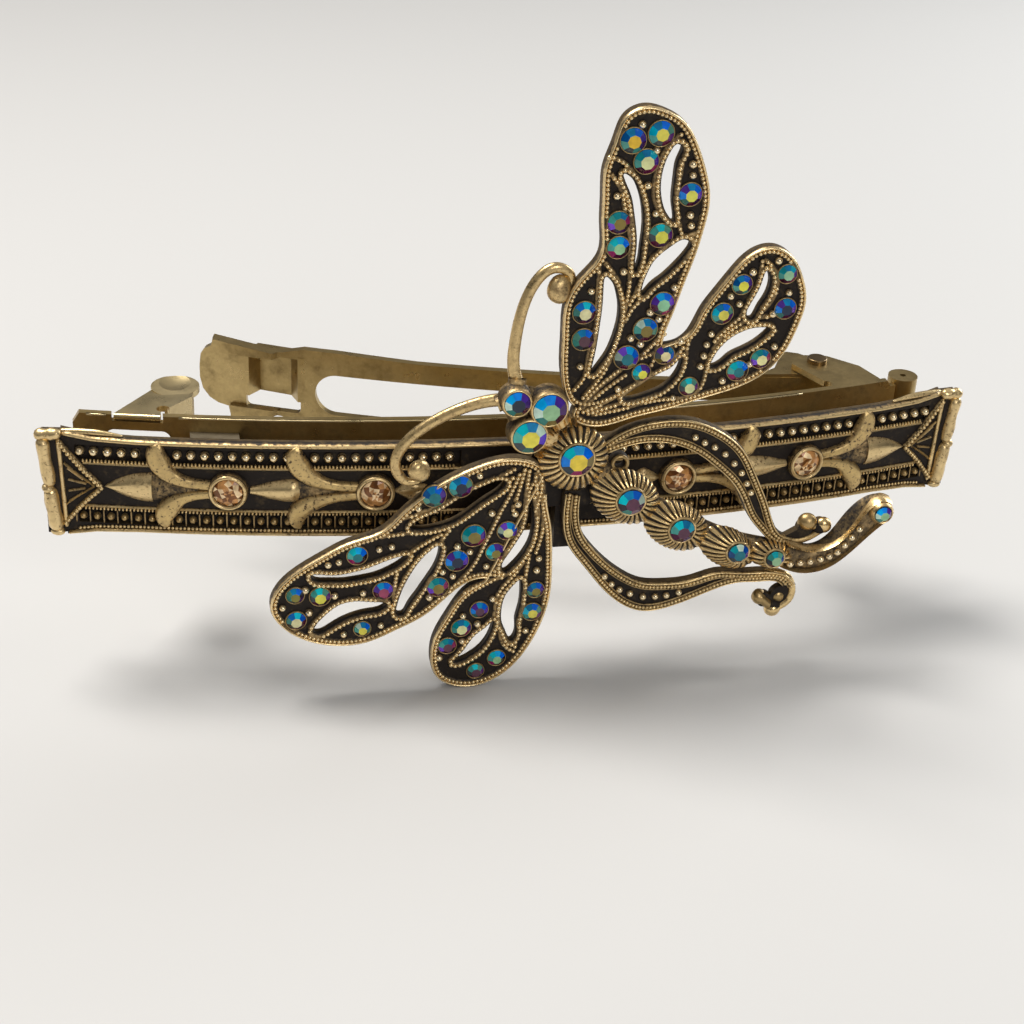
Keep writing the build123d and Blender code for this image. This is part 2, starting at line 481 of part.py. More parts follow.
# ----------------------------------------------------------------------------
# Dragonfly body: head cups, thorax, ribbed segments and tail in one casting
# ----------------------------------------------------------------------------
head_stone_at = (-2.68, 10.85, 1.15)
eyes_at = [(0.27, 10.11, 1.5), (-1.42, 7.54, 1.5)]
thorax_at = (3.08, 5.0)
body_at = [(3.08, 5.0, 1.5), (8.46, 0.4, 1.25), (13.61, -2.93, 1.15), (19.33, -5.72, 0.98), (23.05, -6.61, 0.85)]
tail_at = (33.3, -2.45, 0.8)
segments = [(8.35, 0.1, 3.4, 2.75), (13.45, -3.3, 3.2, 2.45), (18.75, -5.95, 2.8, 2.05), (23.1, -6.8, 2.1, 1.45)]
spine_deg = -33
tail_lo = [(24.0, -8.1), (25.64, -8.75), (28.62, -8.5), (31.1, -6.6), (32.7, -4.9), (33.9, -3.7)]
tail_up = [(34.3, -1.4), (33.3, -0.95), (32.2, -1.6), (31.0, -3.45), (29.6, -5.25), (27.3, -6.15), (24.6, -5.4)]

with BuildPart() as dragonfly_body:
    with BuildSketch(Plane.XZ.offset(-wing_y)):
        with Locations((thorax_at[0], thorax_at[1] - 0.6)):
            Circle(3.2)
        for x, z, r in eyes_at + [head_stone_at]:
            with Locations((x, z)):
                Circle(r + 0.35)
        with BuildLine():
            Polyline((-1.4, 8.9), (1.2, 8.9), (3.0, 7.0), (1.4, 5.0), (-1.2, 6.4), close=True)
        make_face()
        for x, z, a, b in segments:
            with Locations(Location((x, z), spine_deg if x < 20 else -12)):
                Ellipse(a, b)
        with BuildLine():
            Polyline((4.2, 5.6), (9.3, 1.5), (14.2, -1.9), (19.6, -4.6), (24.5, -6.2), (24.3, -7.6), (18.6, -6.6), (13.0, -4.1), (7.6, -0.8), (2.4, 3.2), close=True)
        make_face()
        with BuildLine():
            Spline(*tail_lo)
            Line(tail_lo[-1], tail_up[0])
            Spline(*tail_up)
            Line(tail_up[-1], tail_lo[0])
        make_face()
    extrude(amount=body_t)
    with BuildSketch(Plane.XZ.offset(-wing_y + body_t - 0.5)):
        for x, z, r in eyes_at + [head_stone_at] + body_at + [tail_at]:
            with Locations((x, z)):
                Circle(r + 0.03)
    extrude(amount=2, mode=Mode.SUBTRACT)
dragonfly_body.part.label = "dragonfly_body"
export_step(dragonfly_body.part, "parts/dragonfly_body.step")

# ----------------------------------------------------------------------------
# Body stones in their own nodes
# ----------------------------------------------------------------------------
for name, stones in (("eye_stones", eyes_at), ("head_stone", [head_stone_at]), ("body_stones", body_at), ("tail_stone", [tail_at])):
    with BuildPart() as set_stones:
        with BuildSketch(Plane.XZ.offset(-wing_y + body_t - 0.5)):
            for x, z, r in stones:
                with Locations((x, z)):
                    Circle(r)
        extrude(amount=0.6)
        with BuildSketch(Plane.XZ.offset(-wing_y + body_t + 0.1)):
            for x, z, r in stones:
                with Locations((x, z)):
                    RegularPolygon(r, 8)
        extrude(amount=0.38 if name == "tail_stone" else 0.5, taper=35)
    set_stones.part.label = name
    export_step(set_stones.part, "parts/" + name + ".step")

# ----------------------------------------------------------------------------
# Antennae: tapered curved rods with a scroll ball
# ----------------------------------------------------------------------------
ant_y = wing_y + 0.56
upper_ant = [(-2.3, 11.6), (-2.75, 15.1), (-2.4, 18.0), (-1.74, 20.3), (-0.75, 22.1), (0.2, 22.85)]
lower_ant = [(-3.4, 10.2), (-6.6, 9.7), (-9.03, 8.8), (-10.9, 7.6), (-12.3, 6.1), (-12.95, 4.6), (-12.6, 3.2)]

with BuildPart() as upper_antenna:
    with BuildLine() as upper_path:
        Spline(*[(x, ant_y, z) for x, z in upper_ant])
    with BuildSketch(Plane(origin=upper_path.line @ 0, z_dir=upper_path.line % 0)):
        Circle(0.52)
    sweep()
    with Locations((upper_ant[-1][0] + 0.45, ant_y, upper_ant[-1][1] - 1.0)):
        Sphere(1.05)
upper_antenna.part.label = "upper_antenna"
export_step(upper_antenna.part, "parts/upper_antenna.step")

with BuildPart() as lower_antenna:
    with BuildLine() as lower_path:
        Spline(*[(x, ant_y, z) for x, z in lower_ant])
    with BuildSketch(Plane(origin=lower_path.line @ 0, z_dir=lower_path.line % 0)):
        Circle(0.52)
    sweep()
    with Locations((lower_ant[-1][0] + 1.4, ant_y, lower_ant[-1][1] + 0.35)):
        Sphere(1.0)
lower_antenna.part.label = "lower_antenna"
export_step(lower_antenna.part, "parts/lower_antenna.step")

# ----------------------------------------------------------------------------
# Ribbons: flat curved bands that run from the thorax to the tail
# ----------------------------------------------------------------------------
right_out = [(5.6, 5.6), (8.1, 7.15), (10.9, 7.78), (14.1, 7.62), (16.9, 6.4), (19.3, 4.3), (20.85, 1.55), (22.15, -1.2), (22.85, -3.05), (24.0, -4.9), (25.4, -5.4)]
right_in = [(24.9, -6.1), (23.5, -5.9), (21.8, -4.4), (20.6, -2.9), (19.65, -1.0), (18.5, 0.9), (16.9, 2.5), (14.85, 4.15), (12.45, 5.28), (9.2, 5.55), (6.0, 4.6)]
left_out = [(2.6, 1.0), (2.5, -2.0), (3.0, -4.3), (4.7, -6.9), (6.6, -9.4), (8.5, -11.3), (10.95, -12.45), (13.5, -12.2), (16.4, -11.15), (18.6, -10.3), (20.4, -9.95), (22.3, -10.0), (24.2, -10.2), (25.0, -11.0)]
left_in = [(26.2, -10.7), (25.2, -9.5), (23.1, -8.85), (20.6, -8.8), (18.0, -8.6), (15.65, -9.25), (13.0, -9.45), (10.6, -9.15), (8.85, -8.2), (7.1, -6.75), (5.6, -5.1), (4.5, -3.4), (4.1, -1.9), (4.1, 0.9)]

with BuildPart() as right_ribbon:
    with BuildSketch(Plane.XZ.offset(-wing_y - wing_t)):
        with BuildLine():
            Spline(*right_out)
            Line(right_out[-1], right_in[0])
            Spline(*right_in)
            Line(right_in[-1], right_out[0])
        make_face()
        with Locations((26.4, -4.5)):
            Circle(0.8)
        with BuildLine():
            Polyline((24.4, -5.2), (26.2, -4.2), (26.9, -5.2), (25.2, -6.0), close=True)
        make_face()
    extrude(amount=wing_t)
    with Locations((27.9, wing_y + wing_t / 2, -4.4)):
        Sphere(0.85)
right_ribbon.part.label = "right_ribbon"
export_step(right_ribbon.part, "parts/right_ribbon.step")

with BuildPart() as left_ribbon:
    with BuildSketch(Plane.XZ.offset(-wing_y - wing_t)):
        with BuildLine():
            Spline(*left_out)
            Line(left_out[-1], left_in[0])
            Spline(*left_in)
            Line(left_in[-1], left_out[0])
        make_face()
        with Locations((24.9, -11.9)):
            Circle(1.15)
        with Locations((23.2, -12.2)):
            Circle(0.75)
    extrude(amount=wing_t)
    with Locations((24.2, wing_y + wing_t / 2, -13.0)):
        Sphere(0.85)
left_ribbon.part.label = "left_ribbon"
export_step(left_ribbon.part, "parts/left_ribbon.step")
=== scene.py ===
import math
import random

import bpy
import numpy as np
from mathutils import Matrix, Vector


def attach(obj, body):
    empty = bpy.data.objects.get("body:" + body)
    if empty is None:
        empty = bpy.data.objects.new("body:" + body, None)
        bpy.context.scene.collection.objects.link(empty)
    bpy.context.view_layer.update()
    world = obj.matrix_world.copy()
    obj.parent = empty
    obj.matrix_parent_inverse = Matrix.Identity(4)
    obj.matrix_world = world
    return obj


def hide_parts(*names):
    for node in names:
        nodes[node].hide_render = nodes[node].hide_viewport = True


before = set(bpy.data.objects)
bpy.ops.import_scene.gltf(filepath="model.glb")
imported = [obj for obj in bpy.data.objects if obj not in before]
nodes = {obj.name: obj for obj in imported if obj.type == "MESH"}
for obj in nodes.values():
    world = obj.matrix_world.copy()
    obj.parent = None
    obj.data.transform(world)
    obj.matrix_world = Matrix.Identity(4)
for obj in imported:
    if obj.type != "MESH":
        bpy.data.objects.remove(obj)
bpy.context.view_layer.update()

MM = 0.001
YC, R_PLATE = 169.0, 175.6
WING_Y = -9.8
BODY_Y = -11.5

# ----------------------------------------------------------------------------
# Curves and offsets, in millimetres
# ----------------------------------------------------------------------------


def cubic(points, closed=False, step=0.1):
    """Cubic spline through the points, chord-length parameters, sampled finely."""
    p = np.array(points, float)
    n = len(p)
    q = np.vstack([p, p[:1]]) if closed else p
    h = np.linalg.norm(np.diff(q, axis=0), axis=1)
    t = np.concatenate([[0], np.cumsum(h)])
    m = n if closed else n - 2
    a = np.zeros((m, m))
    b = np.zeros((m, p.shape[1]))
    if closed:
        for i in range(n):
            j, k = (i - 1) % n, (i + 1) % n
            a[i, j] += h[j]
            a[i, i] += 2 * (h[j] + h[i])
            a[i, k] += h[i]
            b[i] = 6 * ((p[k] - p[i]) / h[i] - (p[i] - p[j]) / h[j])
        s = np.linalg.solve(a, b)
        s = np.vstack([s, s[:1]])
    elif n > 2:
        for i in range(1, n - 1):
            if i > 1:
                a[i - 1, i - 2] = h[i - 1]
            a[i - 1, i - 1] = 2 * (h[i - 1] + h[i])
            if i < n - 2:
                a[i - 1, i] = h[i]
            b[i - 1] = 6 * ((p[i + 1] - p[i]) / h[i] - (p[i] - p[i - 1]) / h[i - 1])
        s = np.vstack([np.zeros((1, p.shape[1])), np.linalg.solve(a, b), np.zeros((1, p.shape[1]))])
    else:
        s = np.zeros((2, p.shape[1]))
    out = []
    for i in range(len(q) - 1):
        k = max(2, int(h[i] / step))
        u = np.linspace(0, h[i], k, endpoint=False)[:, None]
        v = h[i] - u
        out.append((s[i] * v**3 + s[i + 1] * u**3) / (6 * h[i]) + (q[i] / h[i] - s[i] * h[i] / 6) * v + (q[i + 1] / h[i] - s[i + 1] * h[i] / 6) * u)
    if not closed:
        out.append(q[-1:])
    return np.vstack(out)


def resample(poly, spacing, closed=False):
    """Evenly spaced points along a polyline, close to the wanted spacing."""
    q = np.vstack([poly, poly[:1]]) if closed else np.asarray(poly, float)
    d = np.concatenate([[0], np.cumsum(np.linalg.norm(np.diff(q, axis=0), axis=1))])
    n = max(2, int(round(d[-1] / spacing)))
    s = np.linspace(0, d[-1], n, endpoint=False) if closed else np.linspace(0, d[-1], n + 1)
    return np.stack([np.interp(s, d, q[:, k]) for k in range(q.shape[1])], 1)


def area(poly):
    x, z = poly[:, 0], poly[:, 1]
    return 0.5 * float(np.sum(x * np.roll(z, -1) - np.roll(x, -1) * z))


def normals_of(poly, closed):
    if closed:
        t = np.roll(poly, -1, 0) - np.roll(poly, 1, 0)
    else:
        t = np.gradient(poly, axis=0)
    t /= np.linalg.norm(t, axis=1)[:, None] + 1e-12
    return np.stack([-t[:, 1], t[:, 0]], 1)


def offset_loop(poly, d):
    """Closed loop moved inwards by d (outwards when d is negative), self crossings trimmed."""
    poly = resample(poly, 0.12, True)
    sign = 1 if area(poly) > 0 else -1
    out = poly + normals_of(poly, True) * sign * d
    dist = np.sqrt(((out[:, None, :] - poly[None, :, :]) ** 2).sum(-1)).min(1)
    return out[dist > abs(d) * 0.96]


def inside(poly, pts):
    """Which points lie inside a closed polyline."""
    x, z = pts[:, 0:1], pts[:, 1:2]
    ax, az = poly[:, 0][None], poly[:, 1][None]
    bx, bz = np.roll(poly[:, 0], -1)[None], np.roll(poly[:, 1], -1)[None]
    hit = ((az > z) != (bz > z)) & (x < (bx - ax) * (z - az) / (bz - az + 1e-12) + ax)
    return hit.sum(1) % 2 == 1


# ----------------------------------------------------------------------------
# Surfaces: a point (x, z) raised by h from a face, and the frame there
# ----------------------------------------------------------------------------


class Face:
    """Flat face looking along -Y at the given y."""

    def __init__(self, y):
        self.y = y

    def at(self, x, z, h=0.0):
        x, z, h = np.broadcast_arrays(np.asarray(x, float), np.asarray(z, float), np.asarray(h, float))
        return np.stack([x, self.y - h, z], -1)

    def axes(self, x):
        return np.array([1.0, 0, 0]), np.array([0, 0, 1.0]), np.array([0, -1.0, 0])


class Bow:
    """Cylinder face of the bowed plate."""

    def __init__(self, r=R_PLATE):
        self.r = r

    def at(self, x, z, h=0.0):
        x, z, h = np.broadcast_arrays(np.asarray(x, float), np.asarray(z, float), np.asarray(h, float))
        s = x / R_PLATE
        c = np.sqrt(1 - s * s)
        return np.stack([(self.r + h) * s, YC - (self.r + h) * c, z], -1)

    def axes(self, x):
        s = x / R_PLATE
        c = math.sqrt(1 - s * s)
        return np.array([c, s, 0]), np.array([0, 0, 1.0]), np.array([s, -c, 0])


WING, BODY, PLATE, BAND = Face(WING_Y), Face(BODY_Y), Bow(), Bow(R_PLATE)

# ----------------------------------------------------------------------------
# Mesh gathering
# ----------------------------------------------------------------------------


class Mesh:
    def __init__(self):
        self.v, self.f, self.p, self.c, self.flat = [], [], [], [], []
        self.n = 0

    # each vertex carries a darkness value: patina plus painted shade at feet, in grooves and in hollows
    def add(self, verts, faces, patina_and_shade=0.0, cols=None):
        verts = np.asarray(verts, float).reshape(-1, 3)
        self.v.append(verts)
        patina_and_shade = np.broadcast_to(np.asarray(patina_and_shade, float), (len(verts),))
        self.p.append(patina_and_shade)
        base = self.n
        self.f.extend([tuple(int(i) + base for i in f) for f in faces])
        self.c.extend(cols if cols is not None else [(1, 1, 1)] * len(faces))
        self.n += len(verts)

    def make(self, name, mat, slot, body="clip_frame", smooth=True, replaces=(), angle=None):
        me = bpy.data.meshes.new(name)
        v = np.vstack(self.v) * MM
        me.from_pydata(v.tolist(), [], self.f)
        me.validate()
        a = me.attributes.new("patina_and_shade", "FLOAT", "POINT")
        a.data.foreach_set("value", np.concatenate(self.p).astype(np.float32))
        if any(c != (1, 1, 1) for c in self.c):
            ca = me.color_attributes.new("facet", "FLOAT_COLOR", "CORNER")
            buf = []
            for poly, c in zip(me.polygons, self.c):
                buf.extend([c[0], c[1], c[2], 1.0] * poly.loop_total)
            ca.data.foreach_set("color", np.array(buf, np.float32))
        me.polygons.foreach_set("use_smooth", [smooth] * len(me.polygons))
        me.materials.append(mat)
        me.update()
        ob = bpy.data.objects.new(name, me)
        bpy.context.scene.collection.objects.link(ob)
        if angle is not None:
            me.set_sharp_from_angle(angle=math.radians(angle))
        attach(ob, body)
        if replaces:
            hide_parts(*replaces)
        return ob


def ico(level=2):
    t = (1 + 5**0.5) / 2
    v = [(-1, t, 0), (1, t, 0), (-1, -t, 0), (1, -t, 0), (0, -1, t), (0, 1, t), (0, -1, -t), (0, 1, -t), (t, 0, -1), (t, 0, 1), (-t, 0, -1), (-t, 0, 1)]
    f = [(0, 11, 5), (0, 5, 1), (0, 1, 7), (0, 7, 10), (0, 10, 11), (1, 5, 9), (5, 11, 4), (11, 10, 2), (10, 7, 6), (7, 1, 8), (3, 9, 4), (3, 4, 2), (3, 2, 6), (3, 6, 8), (3, 8, 9), (4, 9, 5), (2, 4, 11), (6, 2, 10), (8, 6, 7), (9, 8, 1)]
    v = [np.array(p) / np.linalg.norm(p) for p in v]
    for _ in range(level - 1):
        mid, g = {}, []
        for tri in f:
            e = []
            for i in range(3):
                k = tuple(sorted((tri[i], tri[(i + 1) % 3])))
                if k not in mid:
                    m = v[k[0]] + v[k[1]]
                    v.append(m / np.linalg.norm(m))
                    mid[k] = len(v) - 1
                e.append(mid[k])
            g += [(tri[0], e[0], e[2]), (tri[1], e[1], e[0]), (tri[2], e[2], e[1]), tuple(e)]
        f = g
    return np.array(v), f


ICO2, ICO2F = ico(2)
ICO3, ICO3F = ico(3)


def bead(m, surf, x, z, r, lift=0.0, tall=1.0, stretch=1.0, turn=0.0, least_patina_and_shade=0.0, fine=False):
    """Round grain seated on a face; dark where it meets the floor: patina plus painted shade."""
    v, f = (ICO3, ICO3F) if fine else (ICO2, ICO2F)
    ex, ez, en = surf.axes(x)
    c = surf.at(x, z, lift)
    ca, sa = math.cos(turn), math.sin(turn)
    a, b = v[:, 0] * r * stretch, v[:, 1] * r
    p = c + np.outer(a * ca - b * sa, ex) + np.outer(a * sa + b * ca, ez) + np.outer(v[:, 2] * r * tall, en)
    m.add(p, f, np.clip(0.62 - 1.25 * v[:, 2], least_patina_and_shade, 1))


def chain(m, surf, line, r, spacing, closed=False, lift=0.0, keep=None, tall=1.0, stretch=1.0, rng=None):
    """Milgrain: a row of grains along a line."""
    pts = resample(line, spacing, closed)
    nrm = normals_of(pts, closed)
    for (x, z), nn in zip(pts, nrm):
        if keep is not None and not keep(x, z):
            continue
        k = 1.0 if rng is None else rng.uniform(0.9, 1.1)
        bead(m, surf, x, z, r * k, lift, tall, stretch, math.atan2(-nn[0], nn[1]))


def strap(m, surf, line, w, h, base=-0.2, cols=6, power=2.4, closed=False, edge=0.85, top=0.0, lift=0.0, foot=1.0):
    """Raised band along a line: half width w and height h may vary along it."""
    line = np.asarray(line, float)
    n = len(line)
    w = np.broadcast_to(np.asarray(w, float), (n,))
    h = np.broadcast_to(np.asarray(h, float), (n,))
    nn = normals_of(line, closed)
    u = -np.cos(np.linspace(0, math.pi, cols + 1))
    prof = 1 - np.abs(u) ** power
    k = cols + 3
    us = np.concatenate([u, [1, -1]])
    x = line[:, 0:1] + nn[:, 0:1] * w[:, None] * us[None]
    z = line[:, 1:2] + nn[:, 1:2] * w[:, None] * us[None]
    hh = np.concatenate([lift + h[:, None] * prof[None], np.full((n, 2), base)], 1)
    v = surf.at(x, z, hh).reshape(-1, 3)
    # darkness across the band: lightest on the crest, darker to the edges and at the foot: patina plus painted shade
    # where the band meets the floor
    patina_and_shade = np.concatenate([top + (edge - top) * np.abs(u) ** 3, [foot, foot]])
    faces = []
    for i in range(n if closed else n - 1):
        j = (i + 1) % n
        for c in range(k):
            d = (c + 1) % k
            faces.append((i * k + c, i * k + d, j * k + d, j * k + c))
    if not closed:
        faces.append(tuple(range(k - 1, -1, -1)))
        faces.append(tuple((n - 1) * k + c for c in range(k)))
    m.add(v, faces, np.tile(patina_and_shade, n))


def lathe(m, surf, x, z, prof, seg=32, patina_and_shade_levels=None, wob=None):
    """Turned ring about the face's normal at (x, z); prof is (radius, height), closed loop of a section."""
    ex, ez, en = surf.axes(x)
    c = surf.at(x, z, 0)
    a = np.linspace(0, 2 * math.pi, seg, endpoint=False)
    k = len(prof)
    v = []
    for i, t in enumerate(a):
        g = 1 if wob is None else wob(t)
        for r, h in prof:
            v.append(c + ex * r * g * math.cos(t) + ez * r * g * math.sin(t) + en * h)
    f = []
    for i in range(seg):
        j = (i + 1) % seg
        for q in range(k):
            s = (q + 1) % k
            f.append((i * k + q, i * k + s, j * k + s, j * k + q))
    # per-ring darkness values: patina plus painted shade low on the walls and in hollows
    m.add(v, f, np.tile(patina_and_shade_levels if patina_and_shade_levels is not None else np.zeros(k), seg))


def ring(m, surf, x, z, r, w, h, lift=0.0, seg=28, base=-0.1, dark=0.5):
    """Bezel: rounded ring of mean radius r, half width w, height h."""
    prof = [(r + w, base), (r + w, lift + h * 0.45), (r + w * 0.7, lift + h * 0.85), (r, lift + h), (r - w * 0.7, lift + h * 0.85), (r - w, lift + h * 0.45), (r - w, base)]
    # dark at the foot and down the walls, light on the top: patina plus painted shade
    lathe(m, surf, x, z, prof, seg, np.array([1, dark, 0.1, 0, 0.15, 0.8, 1]))


def dome(m, surf, cs, r_in, ce, a, b, rot, h_edge, h_top, ribs, amp, scallop=0.035, rings=9, per=8, curve=1.7, base=0.0, hole=0.35, phase=0.0, floor=None):
    """Ribbed dome round a stone: inner circle at the stone, outer ellipse, ribs radiating, closed underneath."""
    n = ribs * per
    th = np.linspace(0, 2 * math.pi, n, endpoint=False)
    cr = math.radians(rot)
    rr = a * b / np.sqrt((b * np.cos(th - cr)) ** 2 + (a * np.sin(th - cr)) ** 2)
    c = np.cos(ribs * th + phase)
    ridge = np.clip(c * 1.5 + 0.65, -1, 1)
    inner = np.stack([cs[0] + r_in * np.cos(th), cs[1] + r_in * np.sin(th)], 1)
    outer = np.stack([ce[0] + rr * (1 + scallop * c) * np.cos(th), ce[1] + rr * (1 + scallop * c) * np.sin(th)], 1)
    # darkness per ring: the stone seat, the grooves between the ribs and the outer foot are dark: patina plus painted
    # shade
    rows, patina_and_shade_levels = [], []
    rows.append(surf.at(inner[:, 0], inner[:, 1], h_top - hole))
    patina_and_shade_levels.append(np.ones(n))
    rows.append(surf.at(cs[0] + (r_in + 0.02) * np.cos(th), cs[1] + (r_in + 0.02) * np.sin(th), h_top + 0.12))
    patina_and_shade_levels.append(np.full(n, 0.3))
    rows.append(surf.at(cs[0] + (r_in + 0.13) * np.cos(th), cs[1] + (r_in + 0.13) * np.sin(th), h_top + 0.16))
    patina_and_shade_levels.append(np.full(n, 0.0))
    rows.append(surf.at(cs[0] + (r_in + 0.24) * np.cos(th), cs[1] + (r_in + 0.24) * np.sin(th), h_top + 0.03))
    patina_and_shade_levels.append(np.full(n, 0.6))
    for i in range(1, rings + 1):
        s = i / rings
        q = inner * (1 - s) + outer * s
        if i == 1:
            q = np.stack([cs[0] + (r_in + 0.32) * np.cos(th), cs[1] + (r_in + 0.32) * np.sin(th)], 1) * 0.6 + q * 0.4
        env = math.sin(math.pi * min(1.0, 0.12 + s * 0.95)) ** 0.35 if s < 0.97 else 0.35
        h = h_edge + (h_top - h_edge) * (1 - s**curve) + amp * env * (ridge - 1) * 0.5
        rows.append(surf.at(q[:, 0], q[:, 1], h))
        patina_and_shade_levels.append(np.clip(0.42 - 1.6 * (c + 0.22) + (0.45 if s > 0.95 else 0.18 if s > 0.82 else 0), 0, 1))
    rows.append(surf.at(outer[:, 0], outer[:, 1], base))
    patina_and_shade_levels.append(np.full(n, 0.7))
    k = len(rows)
    v = np.stack(rows, 0).reshape(-1, 3)
    f = []
    for i in range(k - 1):
        for j in range(n):
            q = (j + 1) % n
            f.append((i * n + j, i * n + q, (i + 1) * n + q, (i + 1) * n + j))
    v = np.vstack([v, surf.at(cs[0], cs[1], h_top - hole)[None], surf.at(ce[0], ce[1], base)[None]])
    top, bot = k * n, k * n + 1
    for j in range(n):
        q = (j + 1) % n
        f.append((top, q, j))
        f.append((bot, (k - 1) * n + j, (k - 1) * n + q))
    m.add(v, f, np.concatenate(patina_and_shade_levels + [[1, 0.5]]))


def tube(m, pts, radii, seg=12, flat=1.0, patina_and_shade=0.0, lump=None):
    """Round bar along 3-D points with rounded ends."""
    p = np.asarray(pts, float)
    r = np.broadcast_to(np.asarray(radii, float), (len(p),)).copy()
    t = np.gradient(p, axis=0)
    t /= np.linalg.norm(t, axis=1)[:, None]
    e0, e1 = [], []
    for s, d in ((0, -1), (-1, 1)):
        for a in (0.35, 0.75, 0.97):
            q = p[s] + t[s] * d * r[s] * a
            (e0 if s == 0 else e1).append((q, r[s] * math.sqrt(1 - a * a)))
    p = np.vstack([[q for q, _ in e0[::-1]], p, [q for q, _ in e1]])
    r = np.concatenate([[k for _, k in e0[::-1]], r, [k for _, k in e1]])
    t = np.vstack([[t[0]] * 3, t, [t[-1]] * 3])
    up = np.array([0, -1.0, 0])
    v = []
    for i in range(len(p)):
        b = np.cross(up, t[i])
        if np.linalg.norm(b) < 1e-3:
            b = np.array([1.0, 0, 0])
        b /= np.linalg.norm(b)
        c = np.cross(t[i], b)
        for j in range(seg):
            a = 2 * math.pi * j / seg
            g = 1 if lump is None else lump(i, a)
            v.append(p[i] + b * math.cos(a) * r[i] * g + c * math.sin(a) * r[i] * flat * g)
    n = len(p)
    f = []
    for i in range(n - 1):
        for j in range(seg):
            q = (j + 1) % seg
            f.append((i * seg + j, i * seg + q, (i + 1) * seg + q, (i + 1) * seg + j))
    f.append(tuple(range(seg - 1, -1, -1)))
    f.append(tuple((n - 1) * seg + j for j in range(seg)))
    m.add(v, f, patina_and_shade)


def nugget(m, c, r, seed, squash=(1, 1, 1), amp=0.09, patina_and_shade=0.0):
    """Irregular cast ball, darker in its dents: patina plus painted shade."""
    rng = random.Random(seed)
    d = [np.array([rng.uniform(-1, 1) for _ in range(3)]) for _ in range(7)]
    w = [rng.uniform(-1, 1) for _ in range(7)]
    k = 1 + amp * sum(wi * np.sin(2.6 * (ICO3 @ di) + i) for i, (di, wi) in enumerate(zip(d, w)))
    v = np.array(c) + ICO3 * k[:, None] * r * np.array(squash)
    m.add(v, ICO3F, np.clip(patina_and_shade + (1 - k) * 1.3, 0, 1))


# ----------------------------------------------------------------------------
# Materials, all procedural
# ----------------------------------------------------------------------------


def new_mat(name):
    mat = bpy.data.materials.new(name)
    mat.use_nodes = True
    nt = mat.node_tree
    nt.nodes.clear()
    out = nt.nodes.new("ShaderNodeOutputMaterial")
    bsdf = nt.nodes.new("ShaderNodeBsdfPrincipled")
    nt.links.new(bsdf.outputs[0], out.inputs[0])
    return mat, nt, bsdf


def nd(nt, kind, **kw):
    n = nt.nodes.new(kind)
    for k, v in kw.items():
        if k.startswith("i_"):
            n.inputs[k[2:].replace("_", " ")].default_value = v
        else:
            setattr(n, k, v)
    return n


def math_n(nt, op, a, b=None, clamp=False):
    n = nt.nodes.new("ShaderNodeMath")
    n.operation = op
    n.use_clamp = clamp
    for i, x in enumerate((a, b)):
        if x is None:
            continue
        if isinstance(x, (int, float)):
            n.inputs[i].default_value = x
        else:
            nt.links.new(x, n.inputs[i])
    return n.outputs[0]


def mix_col(nt, fac, a, b):
    n = nt.nodes.new("ShaderNodeMix")
    n.data_type = "RGBA"
    for i, x in ((0, fac), (6, a), (7, b)):
        if isinstance(x, (int, float)):
            n.inputs[i].default_value = x
        elif isinstance(x, tuple):
            n.inputs[i].default_value = (*x, 1)
        else:
            nt.links.new(x, n.inputs[i])
    return n.outputs[2]


def ramp(nt, fac, stops):
    n = nt.nodes.new("ShaderNodeValToRGB")
    nt.links.new(fac, n.inputs[0])
    el = n.color_ramp.elements
    while len(el) > 1:
        el.remove(el[-1])
    el[0].position, el[0].color = stops[0][0], (*stops[0][1], 1)
    for p, c in stops[1:]:
        e = el.new(p)
        e.color = (*c, 1)
    return n.outputs[0]


def noise(nt, scale, detail=3.0, rough=0.55, distort=0.0):
    co = nt.nodes.new("ShaderNodeTexCoord")
    n = nd(nt, "ShaderNodeTexNoise")
    n.inputs["Scale"].default_value = scale
    n.inputs["Detail"].default_value = detail
    n.inputs["Roughness"].default_value = rough
    n.inputs["Distortion"].default_value = distort
    nt.links.new(co.outputs["Object"], n.inputs["Vector"])
    return n.outputs[0]


def bump(nt, height, dist, strength=1.0):
    b = nt.nodes.new("ShaderNodeBump")
    b.inputs["Strength"].default_value = strength
    b.inputs["Distance"].default_value = dist
    nt.links.new(height, b.inputs["Height"])
    return b.outputs[0]


BRIGHT = (0.82, 0.60, 0.29)
MID = (0.36, 0.245, 0.11)
DARK = (0.017, 0.012, 0.009)


